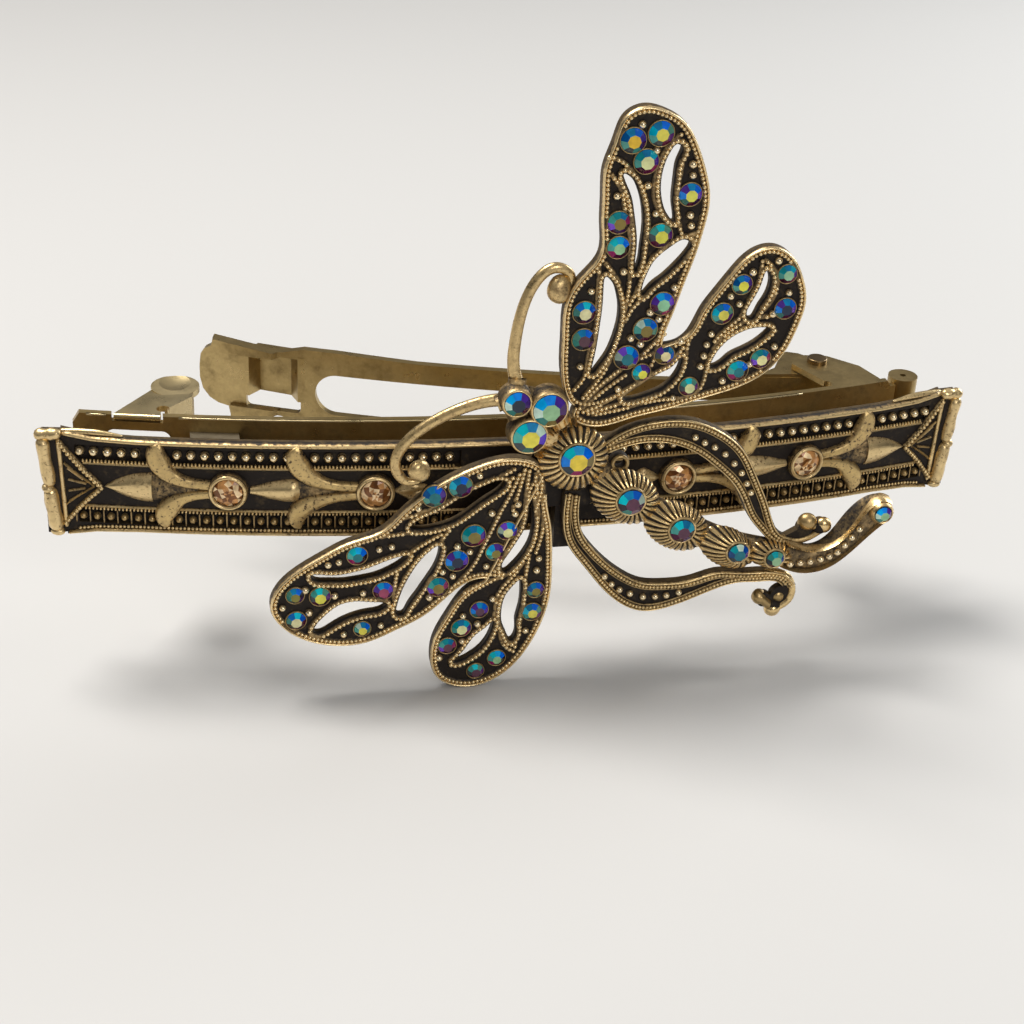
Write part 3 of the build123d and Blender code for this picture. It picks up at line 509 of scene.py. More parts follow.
def antique(name, bright=BRIGHT, bias=0.0, patina=1.0, rough=(0.26, 0.62), floor=False, grit=1.0, pits=0.25):
    """Cast brass rubbed bright on high spots, dark low down: patina plus painted shade in the hollows."""
    mat, nt, bsdf = new_mat(name)
    n1 = noise(nt, 620, 4, 0.6)
    n2 = noise(nt, 2600, 3, 0.6)
    # ground pieces: faces looking to the front, the recessed ground, are painted darkest and side faces less so: patina
    # plus painted shade
    if floor:
        geo = nt.nodes.new("ShaderNodeNewGeometry")
        sep = nt.nodes.new("ShaderNodeSeparateXYZ")
        nt.links.new(geo.outputs["Normal"], sep.inputs[0])
        front = math_n(nt, "MULTIPLY", sep.outputs[1], -1.0)
        lvl = nt.nodes.new("ShaderNodeMapRange")
        nt.links.new(front, lvl.inputs[0])
        for i, v in ((1, -0.6), (2, 0.35), (3, 0.62), (4, 1.02)):
            lvl.inputs[i].default_value = v
        patina_and_shade = lvl.outputs[0]
    else:
        at = nt.nodes.new("ShaderNodeAttribute")
        at.attribute_name = "patina_and_shade"
        patina_and_shade = at.outputs["Fac"]
    s1 = math_n(nt, "MULTIPLY", math_n(nt, "SUBTRACT", n1, 0.5), 0.35 if floor else 0.75 * grit)
    s2 = math_n(nt, "MULTIPLY", math_n(nt, "SUBTRACT", n2, 0.5), 0.3 if floor else 0.8 * grit)
    f = math_n(nt, "ADD", math_n(nt, "MULTIPLY", patina_and_shade, patina), math_n(nt, "ADD", s1, s2))
    n3 = noise(nt, 3900, 2, 0.5)
    pit = nt.nodes.new("ShaderNodeMapRange")
    nt.links.new(n3, pit.inputs[0])
    for i, v in ((1, 0.58), (2, 0.68), (3, 0.0), (4, 0.0 if floor else pits)):
        pit.inputs[i].default_value = v
    f = math_n(nt, "ADD", f, pit.outputs[0])
    f = math_n(nt, "ADD", f, bias, clamp=True)
    col = ramp(nt, f, [(0.0, bright), (0.30, tuple(0.75 * b + 0.25 * m for b, m in zip(bright, MID))), (0.55, MID), (0.78, tuple(0.35 * m for m in MID)), (1.0, DARK)])
    nt.links.new(col, bsdf.inputs["Base Color"])
    r = nt.nodes.new("ShaderNodeMapRange")
    nt.links.new(f, r.inputs[0])
    r.inputs[3].default_value, r.inputs[4].default_value = rough
    nt.links.new(r.outputs[0], bsdf.inputs["Roughness"])
    mt = nt.nodes.new("ShaderNodeMapRange")
    nt.links.new(f, mt.inputs[0])
    mt.inputs[3].default_value, mt.inputs[4].default_value = 1.0, 0.25
    nt.links.new(mt.outputs[0], bsdf.inputs["Metallic"])
    nt.links.new(bump(nt, n2, 0.00005, 0.45), bsdf.inputs["Normal"])
    if floor:
        bsdf.inputs["Specular IOR Level"].default_value = 0.3
    return mat


def satin(name, col, dark, light, rough=0.34, amount=1.0):
    """Rolled and stamped brass sheet: satin, brownish, tarnish specks and faint draw lines."""
    mat, nt, bsdf = new_mat(name)
    big = noise(nt, 90, 3, 0.5, 0.4)
    fine = noise(nt, 1900, 4, 0.7)
    spots = noise(nt, 420, 5, 0.65)
    bm = nt.nodes.new("ShaderNodeMapRange")
    nt.links.new(big, bm.inputs[0])
    for i, v in ((1, 0.3), (2, 0.66), (3, 0.0), (4, 1.0)):
        bm.inputs[i].default_value = v
    c = mix_col(nt, bm.outputs[0], col, light)
    sp = nt.nodes.new("ShaderNodeMapRange")
    nt.links.new(spots, sp.inputs[0])
    for i, v in ((1, 0.52), (2, 0.74), (3, 0.0), (4, 0.75 * amount)):
        sp.inputs[i].default_value = v
    c = mix_col(nt, sp.outputs[0], c, dark)
    fm = nt.nodes.new("ShaderNodeMapRange")
    nt.links.new(fine, fm.inputs[0])
    for i, v in ((1, 0.35), (2, 0.75), (3, 0.0), (4, 0.35 * amount)):
        fm.inputs[i].default_value = v
    c = mix_col(nt, fm.outputs[0], c, tuple(0.55 * x for x in col))
    nt.links.new(c, bsdf.inputs["Base Color"])
    bsdf.inputs["Metallic"].default_value = 0.95
    rr = nt.nodes.new("ShaderNodeMapRange")
    nt.links.new(spots, rr.inputs[0])
    for i, v in ((1, 0.3), (2, 0.8), (3, rough - 0.04), (4, rough + 0.2)):
        rr.inputs[i].default_value = v
    nt.links.new(rr.outputs[0], bsdf.inputs["Roughness"])
    nt.links.new(bump(nt, fine, 0.00003, 0.35), bsdf.inputs["Normal"])
    return mat


def glass(name, sat=1.0, coat=1.0, metal=0.35, rough=0.1, speck=0.0):
    """Foiled glass stone: each facet carries its own colour, the coating's hue with painted light, shade and glints."""
    mat, nt, bsdf = new_mat(name)
    at = nt.nodes.new("ShaderNodeAttribute")
    at.attribute_name = "facet"
    n = noise(nt, 1500, 2, 0.5)
    k = nt.nodes.new("ShaderNodeMapRange")
    nt.links.new(n, k.inputs[0])
    for i, v in ((1, 0.3), (2, 0.7), (3, 0.82 - speck), (4, 1.12 + speck)):
        k.inputs[i].default_value = v
    hsv = nt.nodes.new("ShaderNodeHueSaturation")
    hsv.inputs["Saturation"].default_value = sat
    nt.links.new(k.outputs[0], hsv.inputs["Value"])
    nt.links.new(at.outputs["Color"], hsv.inputs["Color"])
    nt.links.new(hsv.outputs[0], bsdf.inputs["Base Color"])
    bsdf.inputs["Metallic"].default_value = metal
    bsdf.inputs["Roughness"].default_value = rough
    bsdf.inputs["Coat Weight"].default_value = coat
    bsdf.inputs["Coat Roughness"].default_value = 0.04
    bsdf.inputs["IOR"].default_value = 1.5
    bsdf.inputs["Specular IOR Level"].default_value = 0.35
    return mat


M_FLOOR = antique("cast_brass_floor", floor=True, bias=0.0)
M_CAST = antique("cast_brass_relief")
M_RAIL = antique("cast_brass_rail", bright=(0.87, 0.67, 0.37), bias=-0.05)
M_BAND = antique("cast_brass_band", bright=(0.60, 0.43, 0.20), bias=0.28, rough=(0.34, 0.68))
M_BALL = antique("cast_brass_ball", bright=(0.92, 0.76, 0.49), bias=-0.06, rough=(0.24, 0.6))
M_DIM = antique("cast_brass_dim", bright=(0.44, 0.31, 0.14), bias=0.06, rough=(0.34, 0.6))
M_PLATE = antique("plate_relief", bright=(0.78, 0.59, 0.30), bias=0.05, rough=(0.28, 0.62), grit=1.3, pits=0.4)
M_ANT = antique("cast_brass_antenna", bright=(0.68, 0.50, 0.24), bias=0.18, rough=(0.26, 0.58), grit=1.7, pits=0.3)
M_PETAL = antique("plate_petal", bright=(0.66, 0.48, 0.21), bias=0.1, rough=(0.32, 0.62), grit=1.4, pits=0.55)
M_STRIP = satin("stamped_brass_strip", (0.37, 0.26, 0.10), (0.10, 0.065, 0.028), (0.54, 0.40, 0.18), rough=0.3, amount=0.8)
M_ARM = satin("stamped_brass_arm", (0.34, 0.24, 0.095), (0.10, 0.065, 0.027), (0.54, 0.40, 0.18), rough=0.27, amount=0.85)
M_PIN = satin("stamped_brass_pin", (0.15, 0.10, 0.045), (0.05, 0.03, 0.015), (0.26, 0.18, 0.09))
# pale copy of the stamped brass: painted light on the upward-facing catch ears and a painted highlight on the strip's
# rolled edge
M_PALE_PAINTED_LIGHT = satin("stamped_brass_pale_painted_light", (0.54, 0.42, 0.21), (0.24, 0.17, 0.075), (0.70, 0.57, 0.33), rough=0.26, amount=0.5)
M_SOLDER = satin("solder_grey", (0.17, 0.14, 0.095), (0.06, 0.045, 0.03), (0.30, 0.26, 0.19), rough=0.45)
M_AB = glass("aurora_facets", metal=0.15, rough=0.14, coat=0.15, sat=1.12)
M_CH = glass("champagne_facets", metal=0.15, rough=0.12, speck=0.2, coat=0.3, sat=1.1)

for n, mt in (("base_strip", M_STRIP), ("clamp_arm", M_ARM), ("hinge_pin", M_PIN), ("upper_catch_ear", M_PALE_PAINTED_LIGHT), ("lower_catch_ear", M_PALE_PAINTED_LIGHT), ("solder_joints", M_SOLDER), ("mount_bracket", M_FLOOR), ("front_plate", M_FLOOR), ("upper_wings", M_FLOOR), ("lower_wings", M_FLOOR), ("right_ribbon", M_FLOOR), ("left_ribbon", M_FLOOR)):
    ob = nodes[n]
    ob.data.materials.clear()
    ob.data.materials.append(mt)

# ----------------------------------------------------------------------------
# Tables: outlines, openings and stones (x, z in millimetres)
# ----------------------------------------------------------------------------
upper_fore = [(2.76, 9.68), (1.45, 13.07), (1.32, 16.52), (1.4, 19.42), (2.41, 21.61), (4.1, 23.85), (4.07, 26.64), (3.98, 29.04), (3.96, 31.58), (4.65, 33.89), (5.5, 36.09), (7.05, 36.87), (8.79, 36.56), (10.61, 35.51), (11.94, 33.52), (12.98, 30.97), (13.47, 28.83), (13.22, 26.05), (12.74, 23.78), (11.86, 20.75), (11.12, 18.04), (10.63, 16.44), (10.2, 13.6), (7.0, 10.2)]
upper_hind = [(10.4, 15.2), (12.92, 16.45), (13.74, 18.33), (14.92, 20.18), (16.34, 22.19), (17.98, 23.81), (19.75, 24.22), (21.51, 23.34), (22.8, 21.24), (23.34, 19.23), (22.86, 16.46), (21.85, 13.96), (20.2, 12.06), (17.8, 10.77), (14.6, 9.82), (11.32, 8.88), (8.03, 8.14), (4.0, 7.64), (2.7, 8.6), (3.2, 10.0)]
lower_fore = [(-2.98, 4.68), (-5.78, 4.03), (-8.46, 2.76), (-10.78, 1.17), (-12.47, -0.37), (-14.15, -2.0), (-16.96, -2.99), (-19.66, -4.37), (-22.29, -6.08), (-23.93, -7.98), (-24.31, -9.44), (-23.33, -11.57), (-20.96, -13.3), (-17.9, -14.08), (-15.29, -13.85), (-12.68, -12.73), (-10.45, -11.58), (-8.7, -10.18), (-6.61, -8.3), (-4.8, -7.7), (-2.9, -7.9), (-0.9, -5.6), (0.1, -2.0), (0.3, 3.6)]
lower_hind = [(-4.5, -7.9), (-6.57, -9.24), (-8.0, -11.55), (-9.07, -13.79), (-9.37, -16.34), (-8.74, -18.33), (-6.87, -19.52), (-4.35, -19.51), (-1.88, -18.11), (-0.14, -15.86), (1.07, -13.24), (1.84, -9.86), (1.8, -6.04), (1.48, -2.29), (0.91, 0.99), (0.52, 3.4), (-0.6, 2.6), (-0.9, -3.4), (-2.6, -6.6)]
slots_upper = [
    [(5.76, 31.11), (6.28, 30.84), (6.89, 30.05), (7.37, 28.95), (7.71, 27.56), (7.84, 25.95), (7.76, 24.33), (7.6, 22.71), (7.41, 22.2), (7.31, 23.33), (7.33, 24.75), (7.12, 26.37), (6.79, 27.98), (6.32, 29.47)],
    [(10.13, 33.58), (10.64, 33.29), (10.39, 32.22), (10.21, 30.86), (10.18, 29.49), (10.27, 28.09), (10.44, 26.69), (9.83, 27.31), (9.31, 28.32), (9.04, 29.51), (9.02, 30.89), (9.24, 32.05), (9.69, 33.11)],
    [(11.63, 25.08), (12.2, 24.7), (11.85, 23.81), (10.87, 22.61), (9.86, 21.6), (8.83, 20.7), (8.19, 20.0), (8.14, 20.62), (8.43, 21.86), (8.84, 22.87), (9.65, 23.87), (10.67, 24.66)],
    [(4.85, 21.87), (5.49, 21.33), (5.97, 20.28), (6.27, 19.02), (6.28, 17.54), (6.0, 16.07), (5.5, 14.59), (4.82, 13.44), (4.26, 12.7), (4.36, 14.42), (4.54, 16.13), (4.66, 17.82), (4.73, 19.49), (4.69, 20.94)],
    [(12.4, 13.98), (12.3, 12.9), (11.68, 11.72), (10.73, 10.88), (9.53, 10.39), (8.11, 10.01), (7.29, 10.05), (8.24, 11.0), (9.4, 11.82), (10.58, 12.54), (11.75, 13.25)],
    [(19.34, 21.97), (19.76, 21.39), (19.84, 20.45), (19.55, 19.4), (18.96, 18.25), (18.44, 17.41), (17.99, 17.75), (18.1, 18.6), (18.59, 19.64), (18.98, 20.68), (19.15, 21.52)],
    [(20.38, 16.33), (19.97, 15.85), (19.12, 15.12), (18.04, 14.51), (16.86, 13.91), (15.71, 12.97), (15.2, 12.88), (15.32, 13.75), (15.93, 14.82), (16.87, 15.75), (18.04, 16.35), (19.26, 16.59)],
]
slots_lower = [
    [(-2.96, 2.24), (-3.46, 1.5), (-4.73, 0.6), (-6.2, -0.53), (-7.69, -1.54), (-9.19, -2.01), (-10.7, -2.16), (-11.6, -1.95), (-11.05, -1.33), (-9.45, -0.58), (-7.75, 0.42), (-6.07, 1.53), (-4.58, 2.17), (-3.51, 2.47)],
    [(-8.87, -3.99), (-8.98, -5.56), (-9.49, -6.78), (-10.22, -8.0), (-10.96, -9.22), (-11.7, -10.45), (-12.25, -11.2), (-12.6, -11.1), (-12.66, -10.12), (-12.25, -8.61), (-11.67, -7.26), (-10.93, -5.93), (-9.98, -4.74)],
    [(-11.72, -4.87), (-12.36, -5.58), (-13.43, -6.25), (-14.72, -6.79), (-16.24, -7.06), (-17.75, -7.21), (-19.25, -7.1), (-20.33, -6.82), (-20.58, -6.45), (-19.04, -6.41), (-17.32, -6.36), (-15.82, -6.04), (-14.31, -5.49), (-13.02, -5.03)],
    [(-13.63, -9.97), (-14.02, -10.4), (-15.33, -10.69), (-16.64, -10.97), (-17.94, -11.52), (-19.03, -12.21), (-19.9, -12.6), (-20.35, -12.5), (-20.23, -11.85), (-19.47, -10.89), (-18.6, -10.06), (-17.52, -9.5), (-16.21, -9.39), (-14.9, -9.57)],
    [(-0.58, 0.59), (-0.28, -0.9), (-0.23, -2.88), (-0.43, -4.12), (-1.13, -5.59), (-2.07, -6.79), (-2.7, -7.2), (-2.95, -6.75), (-2.58, -5.62), (-1.66, -4.04), (-0.96, -2.59), (-0.71, -1.12)],
    [(-3.49, -12.5), (-3.66, -13.67), (-4.07, -14.7), (-4.82, -15.7), (-5.59, -16.31), (-6.49, -16.77), (-7.12, -16.85), (-6.51, -15.96), (-5.76, -14.83), (-5.01, -13.83), (-4.14, -13.11)],
    [(-1.11, -8.14), (-0.96, -9.7), (-1.06, -11.25), (-1.32, -12.8), (-1.35, -14.38), (-1.67, -14.89), (-2.17, -14.05), (-2.69, -12.7), (-2.76, -11.12), (-2.48, -9.84), (-1.86, -8.86)],
]
# stones: x, z, radius, tone of the table facet
uf_stones = [(6.27, 33.95, 1.08, "A"), (8.63, 34.52, 1.08, "Y"), (7.55, 32.12, 1.05, "P"), (11.67, 29.14, 1.0, "Y"), (5.59, 26.78, 0.97, "O"), (5.72, 24.53, 0.97, "L"), (9.36, 25.52, 1.03, "Y"), (3.15, 18.61, 1.0, "P"), (3.23, 16.06, 0.98, "M"), (10.11, 19.21, 1.03, "L"), (8.78, 16.8, 1.05, "O"), (7.27, 14.17, 1.08, "T"), (8.77, 12.65, 0.8, "Y"), (10.73, 14.32, 0.86, "P")]
uh_stones = [(17.23, 20.76, 0.88, "Y"), (15.69, 18.07, 0.95, "Y"), (21.27, 21.62, 0.85, "L"), (21.49, 18.34, 0.95, "D"), (19.74, 13.56, 0.9, "P"), (17.7, 12.46, 0.95, "T"), (13.26, 11.08, 0.85, "P")]
lf_stones = [(-9.51, 1.24, 1.05, "T"), (-7.12, 2.07, 1.05, "D"), (-5.73, -3.09, 1.08, "O"), (-7.21, -5.64, 1.05, "D"), (-8.89, -8.32, 0.97, "O"), (-16.4, -4.49, 0.9, "T"), (-19.76, -8.6, 0.93, "Y"), (-21.96, -11.02, 0.9, "P"), (-22.03, -8.33, 0.8, "O"), (-13.97, -8.38, 0.9, "R"), (-15.86, -12.37, 0.75, "Y"), (-2.62, -2.77, 0.9, "P"), (-3.64, -4.93, 0.85, "O")]
lh_stones = [(0.37, -9.31, 0.8, "O"), (0.17, -11.72, 0.9, "Y"), (-6.53, -12.99, 0.9, "P"), (-4.89, -11.12, 0.82, "M"), (-7.8, -14.9, 0.82, "M"), (-3.01, -16.64, 0.82, "L"), (-4.99, -17.96, 0.78, "M")]
head_stone = [(-2.68, 10.85, 1.15, "D")]
eyes = [(0.27, 10.11, 1.5, "L"), (-1.42, 7.54, 1.5, "Y")]
body_stones = [(3.08, 5.0, 1.5, "Y"), (8.46, 0.4, 1.25, "M"), (13.61, -2.93, 1.15, "M"), (19.33, -5.72, 0.98, "T"), (23.05, -6.61, 0.85, "L")]
tail_stone = [(33.3, -2.45, 0.8, "L")]
plate_stones = [-27.46, -14.28, 14.28, 27.46]
segments = [(8.25, 0.2, 3.6, 2.6), (13.4, -3.2, 3.5, 2.35), (18.65, -5.85, 3.2, 1.95), (23.0, -6.8, 2.5, 1.42)]
tail_lo = [(24.0, -8.05), (25.64, -8.7), (28.6, -8.44), (31.05, -6.57), (32.65, -4.88), (33.8, -3.75)]
tail_up = [(24.6, -5.45), (27.3, -6.2), (29.55, -5.3), (30.95, -3.5), (32.15, -1.66), (33.3, -1.0), (34.2, -1.4)]
right_out = [(5.6, 5.6), (8.1, 7.15), (10.9, 7.78), (14.1, 7.62), (16.9, 6.4), (19.3, 4.3), (20.85, 1.55), (22.15, -1.2), (22.85, -3.05), (24.0, -4.9), (25.4, -5.4)]
right_in = [(24.9, -6.1), (23.5, -5.9), (21.8, -4.4), (20.6, -2.9), (19.65, -1.0), (18.5, 0.9), (16.9, 2.5), (14.85, 4.15), (12.45, 5.28), (9.2, 5.55), (6.0, 4.6)]
left_out = [(2.6, 1.0), (2.5, -2.0), (3.0, -4.3), (4.7, -6.9), (6.6, -9.4), (8.5, -11.3), (10.95, -12.45), (13.5, -12.2), (16.4, -11.15), (18.6, -10.3), (20.4, -9.95), (22.3, -10.0), (24.2, -10.2), (25.0, -11.0)]
left_in = [(26.2, -10.7), (25.2, -9.5), (23.1, -8.85), (20.6, -8.8), (18.0, -8.6), (15.65, -9.25), (13.0, -9.45), (10.6, -9.15), (8.85, -8.2), (7.1, -6.75), (5.6, -5.1), (4.5, -3.4), (4.1, -1.9), (4.1, 0.9)]
balls_upper = [(6.95, 35.32), (8.35, 33.07), (5.24, 29.14), (7.85, 30.03), (11.62, 31.81), (11.72, 30.83), (8.75, 27.51), (11.83, 27.3), (12.0, 26.35), (6.35, 22.31), (3.62, 20.59), (11.04, 20.71), (3.1, 13.47), (9.03, 18.44), (9.9, 17.77), (7.48, 16.03), (8.42, 15.44), (6.71, 11.13), (12.1, 15.57), (20.3, 22.9), (18.06, 21.91), (16.27, 19.7), (17.15, 18.93), (21.62, 19.86), (20.35, 17.88), (14.86, 16.15), (14.53, 15.13), (14.37, 14.05), (14.15, 13.04), (20.87, 14.71), (18.73, 13.06), (16.35, 11.54), (11.88, 10.03)]
balls_lower = [(-5.42, 3.11), (-10.91, 0.05), (-1.77, -0.02), (-1.99, -1.01), (-4.16, -0.83), (-14.4, -3.97), (-13.26, -3.77), (-19.04, -5.27), (-18.06, -5.06), (-7.21, -4.13), (-6.02, -4.76), (-4.45, -6.4), (-8.5, -6.75), (-7.54, -7.25), (-9.68, -9.39), (-21.12, -7.79), (-18.43, -8.59), (-15.83, -8.48), (-23.19, -9.56), (-20.77, -10.22), (-14.14, -12.12), (-17.59, -12.84), (0.49, -5.9), (0.36, -7.17), (-3.69, -10.01), (-6.42, -11.68), (-5.02, -12.65), (-6.43, -14.46), (-8.54, -16.17), (-0.36, -13.75)]
veins_upper = [
    [(3.34, 9.47), (5.47, 11.75), (6.88, 13.07), (7.42, 14.01)],
    [(3.51, 9.22), (5.65, 11.25), (7.31, 12.48)],
    [(3.68, 9.04), (6.05, 10.09), (8.09, 11.39), (10.01, 12.28), (11.43, 13.52), (12.37, 14.94)],
    [(4.15, 8.86), (7.45, 9.77), (10.16, 10.55), (11.9, 11.79), (12.68, 13.3), (12.8, 15.24), (13.29, 16.5), (14.14, 17.9)],
    [(4.47, 8.68), (7.95, 9.33), (10.99, 9.94), (12.7, 9.94), (14.05, 10.46), (14.68, 11.91), (14.94, 13.86), (15.7, 15.45), (17.67, 17.14), (20.23, 17.68)],
    [(2.48, 10.99), (3.52, 12.4), (3.82, 14.64), (4.31, 17.16)],
    [(12.73, 25.08), (11.55, 23.44), (9.79, 21.5), (8.71, 20.14), (7.6, 19.08), (6.83, 17.54)],
    [(10.84, 16.6), (9.72, 15.52), (8.61, 14.28)],
    [(6.84, 19.27), (6.56, 17.08), (6.21, 15.82), (5.76, 13.92), (4.56, 11.71), (3.58, 10.45)],
    [(10.53, 26.35), (9.25, 27.43), (8.53, 28.93), (8.49, 30.98), (8.93, 32.57), (9.69, 33.71), (10.34, 34.42)],
    [(11.18, 25.73), (10.6, 27.7), (10.55, 29.78), (10.76, 32.11), (11.0, 33.55)],
    [(11.8, 25.41), (12.67, 25.69), (13.0, 26.74)],
    [(4.33, 32.51), (5.36, 32.2), (6.45, 31.17), (7.54, 29.25), (8.2, 26.57), (8.12, 23.85), (7.88, 21.1), (7.14, 19.26)],
    [(4.59, 31.06), (5.49, 29.87), (6.09, 27.8), (6.7, 25.55), (6.88, 23.28), (6.97, 21.28), (6.84, 19.27)],
    [(4.61, 23.19), (5.92, 21.47), (6.45, 19.44)],
    [(4.09, 23.21), (4.23, 21.37), (4.25, 18.73)],
    [(15.23, 15.47), (16.33, 16.71), (17.44, 17.78), (18.3, 19.49), (18.83, 21.68), (18.8, 22.93)],
    [(18.39, 17.39), (19.81, 18.65), (20.41, 20.06), (20.12, 21.95), (18.97, 23.07)],
]
veins_lower = [
    [(-2.26, 3.59), (-4.49, 2.45), (-6.74, 1.46), (-7.77, 0.8), (-10.03, -0.19), (-12.74, -1.08)],
    [(-2.37, 2.74), (-3.68, 1.08), (-5.46, -0.26), (-7.71, -1.7), (-9.67, -2.44), (-11.95, -2.46), (-14.38, -2.73)],
    [(-1.77, 3.05), (-2.44, 1.21), (-3.28, -0.64), (-3.97, -2.33), (-4.82, -4.39), (-5.67, -6.28), (-6.71, -7.64), (-7.91, -9.0), (-9.44, -10.15)],
    [(-0.87, 3.34), (-1.04, 0.78), (-1.21, -1.81), (-1.88, -3.88), (-2.73, -5.59), (-3.61, -6.96)],
    [(-0.32, 3.14), (0.1, -0.15), (0.15, -2.78), (-0.43, -4.88), (-1.13, -6.24), (-2.65, -7.59), (-4.81, -8.23), (-6.34, -9.11)],
    [(0.32, 2.76), (0.99, -1.95), (1.31, -4.8)],
    [(-7.99, -2.38), (-8.67, -3.42), (-8.9, -5.48), (-10.0, -8.13), (-11.12, -10.31), (-12.07, -11.35)],
    [(-8.74, -2.75), (-10.25, -3.6), (-11.74, -4.8), (-12.63, -6.33), (-12.91, -8.1), (-12.92, -9.91)],
    [(-0.82, -6.08), (-2.0, -7.8), (-3.18, -9.53), (-3.35, -11.7), (-3.95, -13.52), (-5.48, -15.08), (-7.35, -16.83)],
    [(-0.39, -5.4), (-0.67, -8.24), (-0.75, -10.78), (-1.06, -13.75), (-1.27, -15.49)],
    [(-2.86, -9.55), (-3.07, -11.73), (-2.77, -13.97), (-2.26, -15.34), (-1.43, -15.97)],
    [(-1.3, 3.5), (-1.75, 1.3), (-2.2, -0.6)],
    [(0.0, 3.2), (0.55, 0.2), (0.62, -3.4), (0.2, -5.2)],
]


def stone_keep(stones, gap):
    arr = np.array([(s[0], s[1], s[2]) for s in stones])

    def ok(x, z):
        return bool((np.hypot(arr[:, 0] - x, arr[:, 1] - z) > arr[:, 2] + gap).all())

    return ok


def runs_of(line, ok):
    """The stretches of a line where ok holds."""
    out, cur = [], []
    for p in line:
        if ok(p[0], p[1]):
            cur.append(p)
        else:
            if len(cur) > 3:
                out.append(np.array(cur))
            cur = []
    if len(cur) > 3:
        out.append(np.array(cur))
    return out


# ----------------------------------------------------------------------------
# Wings: edge rails, milgrain, inner wires, balls and bezels
# ----------------------------------------------------------------------------


def dress_wing(tag, outlines, slots, veins, balls, stones):
    rng = random.Random(11 if tag == "upper" else 12)
    keep_b = stone_keep(stones, 0.2)
    keep_r = stone_keep(stones, 0.02)
    rails, grains, bands, ball_m, bez = Mesh(), Mesh(), Mesh(), Mesh(), Mesh()
    loops = [cubic(o, True) for o in outlines]
    holes = [cubic(s, True) for s in slots]
    ball_at = np.array(balls)

    def free(x, z, d):
        q = np.array([[x, z]])
        return all(not inside(h, q)[0] for h in holes) and all(np.sqrt(((h - q) ** 2).sum(1)).min() > d for h in holes)

    def clear(x, z, d=0.42):
        return bool((np.hypot(ball_at[:, 0] - x, ball_at[:, 1] - z) > d).all())

    def within(x, z, d):
        q = np.array([[x, z]])
        return any(inside(lp, q)[0] for lp in loops)

    laid = []

    def lay(line, keep, r=0.21, gap=0.43, lift=0.16, spread=0.33):
        """A row of grains that gives way to rows already laid."""
        pts = resample(line, gap)
        nrm = normals_of(pts, False)
        put = []
        for (x, z), nn in zip(pts, nrm):
            if not keep(x, z):
                continue
            if laid and min((x - a) ** 2 + (z - b) ** 2 for a, b in laid) < spread**2:
                continue
            k = rng.uniform(0.92, 1.08)
            bead(grains, WING, x, z, r * k, lift, 1.05, 1.0, math.atan2(-nn[0], nn[1]))
            put.append((x, z))
        laid.extend(put)

    for i, lp in enumerate(loops):
        other = loops[1 - i]
        edge = offset_loop(lp, 0.15)
        hidden = inside(other, edge)
        run, runs = [], []
        for p in [p if not hd else None for p, hd in zip(edge, hidden)] + [None]:
            if p is None:
                if len(run) > 4:
                    runs.append(np.array(run))
                run = []
            else:
                run.append(p)
        if not hidden[0] and not hidden[-1] and len(runs) > 1:
            runs[0] = np.vstack([runs[-1], runs[0]])
            runs.pop()
        for r in runs:
            strap(rails, WING, resample(r, 0.25), 0.16, 0.36, cols=6, power=2.2)
        row = offset_loop(lp, 0.46)
        for r in runs_of(np.vstack([row, row[:1]]), lambda x, z: free(x, z, 0.2)):
            strap(bands, WING, resample(r, 0.25), 0.3, 0.14, cols=5, power=3, top=0.45, edge=0.95)
            lay(r, keep_b, 0.2, 0.4, 0.14)
    for h in holes:
        edge = offset_loop(h, -0.3)
        for r in runs_of(np.vstack([edge, edge[:1]]), lambda x, z: within(x, z, 0)):
            strap(bands, WING, resample(r, 0.25), 0.34, 0.24, cols=6, power=3, top=0.3, edge=0.92)
        row = offset_loop(h, -0.32)
        lay(np.vstack([row, row[:1]]), lambda x, z: keep_b(x, z) and free(x, z, 0.12) and within(x, z, 0), 0.225, 0.43, 0.22)
    for v in veins:
        line = cubic(v)
        for r in runs_of(line, lambda x, z: keep_r(x, z) and free(x, z, 0.3) and clear(x, z, 0.3) and within(x, z, 0)):
            strap(bands, WING, resample(r, 0.25), 0.3, 0.2, cols=6, power=3, top=0.3, edge=0.92)
        lay(line, lambda x, z: keep_b(x, z) and free(x, z, 0.3) and clear(x, z) and within(x, z, 0), 0.21, 0.42, 0.19)
    for x, z in balls:
        bead(ball_m, WING, x, z, rng.uniform(0.32, 0.37), 0.14, 1.1, fine=True)
    for x, z, r, _ in stones:
        ring(bez, WING, x, z, r + 0.055, 0.055, 0.2, seg=32)
    rails.make(tag + "_wing_edge_rail", M_RAIL, "antique_cast_brass")
    grains.make(tag + "_wing_milgrain", M_RAIL, "antique_cast_brass")
    bands.make(tag + "_wing_veins", M_BAND, "antique_cast_brass")
    ball_m.make(tag + "_wing_balls", M_BALL, "antique_cast_brass")
    bez.make(tag + "_wing_bezels", M_DIM, "antique_cast_brass")


dress_wing("upper", [upper_fore, upper_hind], slots_upper, veins_upper, balls_upper, uf_stones + uh_stones)
dress_wing("lower", [lower_fore, lower_hind], slots_lower, veins_lower, balls_lower, lf_stones + lh_stones)

